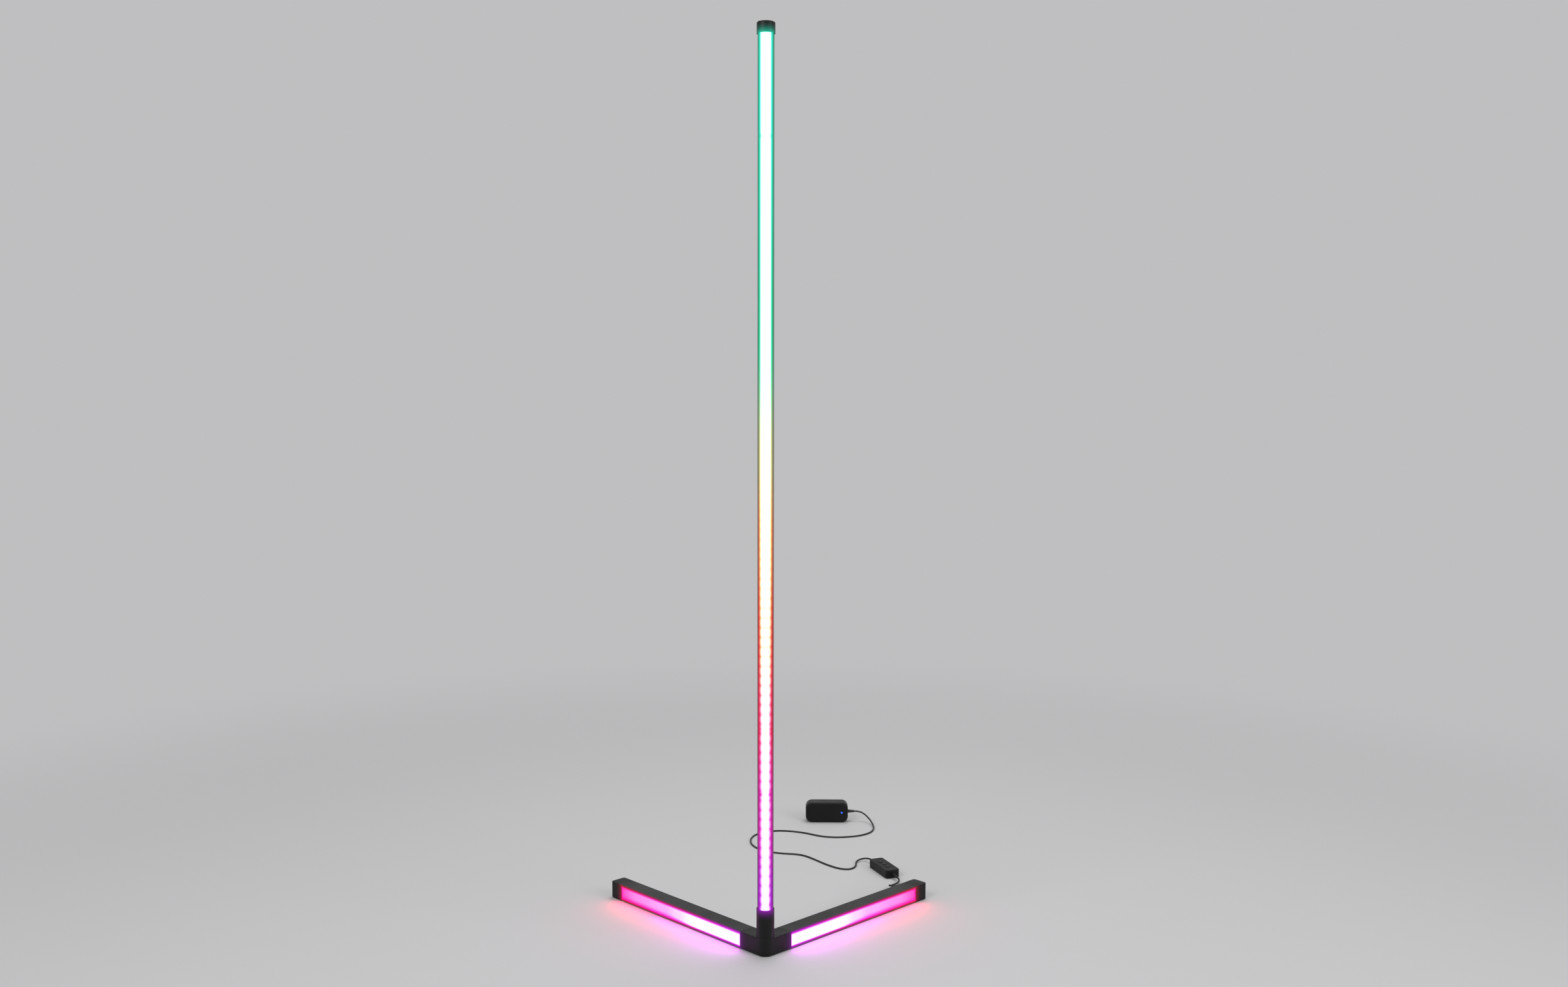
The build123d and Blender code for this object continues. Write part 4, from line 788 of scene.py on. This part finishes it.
class LAMP_OT_stage(bpy.types.Operator):
    """Set up the floor, the studio light and the camera"""
    bl_idname = "lamp.stage"
    bl_label = "Stage"

    def execute(self, context):
        stage = context.scene.lamp_stage
        context.scene.view_settings.view_transform = "Standard"
        self.floor(stage)
        self.world(stage)
        self.light("Key light", place=(-1.9, -2.2, 2.6), target=(0.0, 0.1, 0.5), size=1.8, power=stage.key)
        self.light("Fill light", place=(2.4, -1.6, 1.7), target=(0.0, 0.1, 0.5), size=1.8, power=stage.fill)
        self.light("Top light", place=(0.3, 1.1, 3.2), target=(0.0, 0.2, 0.0), size=2.2, power=stage.top)
        self.pools(context.scene.lamp_light)
        self.camera()
        return {"FINISHED"}

    def floor(self, stage):
        """A wide disc that keeps the lamp's shadow and fades into the backdrop."""
        mesh = bpy.data.meshes.new("Floor")
        turns = [step * math.tau / FLOOR_SIDES for step in range(FLOOR_SIDES)]
        rim = [(FLOOR_RADIUS * math.cos(turn), FLOOR_RADIUS * math.sin(turn), 0) for turn in turns]
        mesh.from_pydata(rim, [], [range(FLOOR_SIDES)])
        floor = bpy.data.objects.new("Floor", mesh)
        bpy.context.scene.collection.objects.link(floor)
        wire = Wiring("Floor")
        wire.set(Base_Color=stage.floor, Roughness=0.8)
        away = wire.tree.nodes.new("ShaderNodeVectorMath")
        away.operation = "LENGTH"
        wire.feed(away.inputs[0], wire.place())
        backdrop = wire.tree.nodes.new("ShaderNodeEmission")
        wire.feed(backdrop.inputs["Color"], stage.backdrop)
        blend = wire.tree.nodes.new("ShaderNodeMixShader")
        wire.feed(blend.inputs[0], wire.span(away.outputs["Value"], *FLOOR_FADE))
        wire.feed(blend.inputs[1], wire.surface.outputs[0])
        wire.feed(blend.inputs[2], backdrop.outputs[0])
        wire.feed(wire.tree.nodes["Material Output"].inputs["Surface"], blend.outputs[0])
        mesh.materials.append(wire.material)

    def world(self, stage):
        """Even light from all round, with the pale backdrop where it is seen or mirrored."""
        world = bpy.data.worlds.new("Studio")
        bpy.context.scene.world = world
        world.use_nodes = True
        tree = world.node_tree
        seen = tree.nodes["Background"]
        seen.inputs["Color"].default_value = (*stage.backdrop, 1)
        seen.inputs["Strength"].default_value = 1.0
        around = tree.nodes.new("ShaderNodeBackground")
        around.inputs["Color"].default_value = (1, 1, 1, 1)
        around.inputs["Strength"].default_value = stage.ambient
        path = tree.nodes.new("ShaderNodeLightPath")
        shown = path.outputs["Is Camera Ray"]
        for kind in ("Is Glossy Ray", "Is Transmission Ray"):
            either = tree.nodes.new("ShaderNodeMath")
            either.operation = "MAXIMUM"
            tree.links.new(shown, either.inputs[0])
            tree.links.new(path.outputs[kind], either.inputs[1])
            shown = either.outputs[0]
        blend = tree.nodes.new("ShaderNodeMixShader")
        tree.links.new(shown, blend.inputs[0])
        tree.links.new(around.outputs[0], blend.inputs[1])
        tree.links.new(seen.outputs[0], blend.inputs[2])
        tree.links.new(blend.outputs[0], tree.nodes["World Output"].inputs["Surface"])

    def light(self, name, place, target, size, power):
        """A soft round light that points at a target."""
        data = bpy.data.lights.new(name, "AREA")
        data.shape = "DISK"
        data.size = size
        data.energy = power
        lamp = bpy.data.objects.new(name, data)
        lamp.location = place
        lamp.rotation_mode = "QUATERNION"
        lamp.rotation_quaternion = (Vector(target) - Vector(place)).to_track_quat("-Z", "Y")
        bpy.context.scene.collection.objects.link(lamp)
        return lamp

    def pools(self, light):
        """Throws the bars' coloured light on the floor in front of them."""
        colours = (light.lip_hub, light.lip_middle, light.lip_end)
        length = (BAR_END - HUB_ARM) / len(colours)
        for side, _ in LEGS:
            run = Vector((side * math.cos(LEG_TURN), math.sin(LEG_TURN), 0))
            out = Vector((side * math.sin(LEG_TURN), -math.cos(LEG_TURN), 0))
            for index, colour in enumerate(colours):
                place = run * (HUB_ARM + (index + 0.5) * length) + out * (OUTER_FACE + POOL_GAP)
                place.z = (LIT_LOW + LIT_HIGH) / 2
                lamp = self.light("Pool light", place, place + out, length, light.pool)
                lamp.data.shape = "RECTANGLE"
                lamp.data.size_y = LIT_HIGH - LIT_LOW
                lamp.data.color = colour
                lamp.visible_camera = False
                lamp.visible_glossy = False

    def camera(self):
        """The view of the lamp from the front."""
        data = bpy.data.cameras.new("Camera")
        data.sensor_width = CAMERA_SENSOR
        data.lens = CAMERA_LENS
        data.clip_end = CAMERA_REACH
        camera = bpy.data.objects.new("Camera", data)
        camera.location = CAMERA_PLACE
        camera.rotation_euler = (CAMERA_TILT, CAMERA_ROLL, CAMERA_TURN)
        bpy.context.scene.collection.objects.link(camera)
        bpy.context.scene.camera = camera


class LAMP_PT_panel(bpy.types.Panel):
    """Lists the steps that dress the lamp"""
    bl_idname = "LAMP_PT_panel"
    bl_label = "Corner lamp"
    bl_space_type = "VIEW_3D"
    bl_region_type = "UI"
    bl_category = "Corner lamp"

    def draw(self, context):
        for step in STEPS:
            self.layout.operator(step.bl_idname)
        for group in (context.scene.lamp_light, context.scene.lamp_finish, context.scene.lamp_stage):
            box = self.layout.box()
            for name in group.__annotations__:
                box.prop(group, name)


STEPS = (LAMP_OT_leads, LAMP_OT_light_covers, LAMP_OT_channels, LAMP_OT_mouldings, LAMP_OT_fixings,
         LAMP_OT_electronics, LAMP_OT_controller, LAMP_OT_adapter, LAMP_OT_stage)
CLASSES = (LampLight, LampFinish, LampStage) + STEPS + (LAMP_PT_panel,)


def register():
    for item in CLASSES:
        bpy.utils.register_class(item)
    bpy.types.Scene.lamp_light = PointerProperty(type=LampLight)
    bpy.types.Scene.lamp_finish = PointerProperty(type=LampFinish)
    bpy.types.Scene.lamp_stage = PointerProperty(type=LampStage)


def unregister():
    del bpy.types.Scene.lamp_stage
    del bpy.types.Scene.lamp_finish
    del bpy.types.Scene.lamp_light
    for item in reversed(CLASSES):
        bpy.utils.unregister_class(item)


def main():
    register()
    bpy.ops.lamp.leads()
    bpy.ops.lamp.light_covers()
    bpy.ops.lamp.channels()
    bpy.ops.lamp.mouldings()
    bpy.ops.lamp.fixings()
    bpy.ops.lamp.electronics()
    bpy.ops.lamp.controller()
    bpy.ops.lamp.adapter()
    bpy.ops.lamp.stage()


if __name__ == "__main__":
    main()
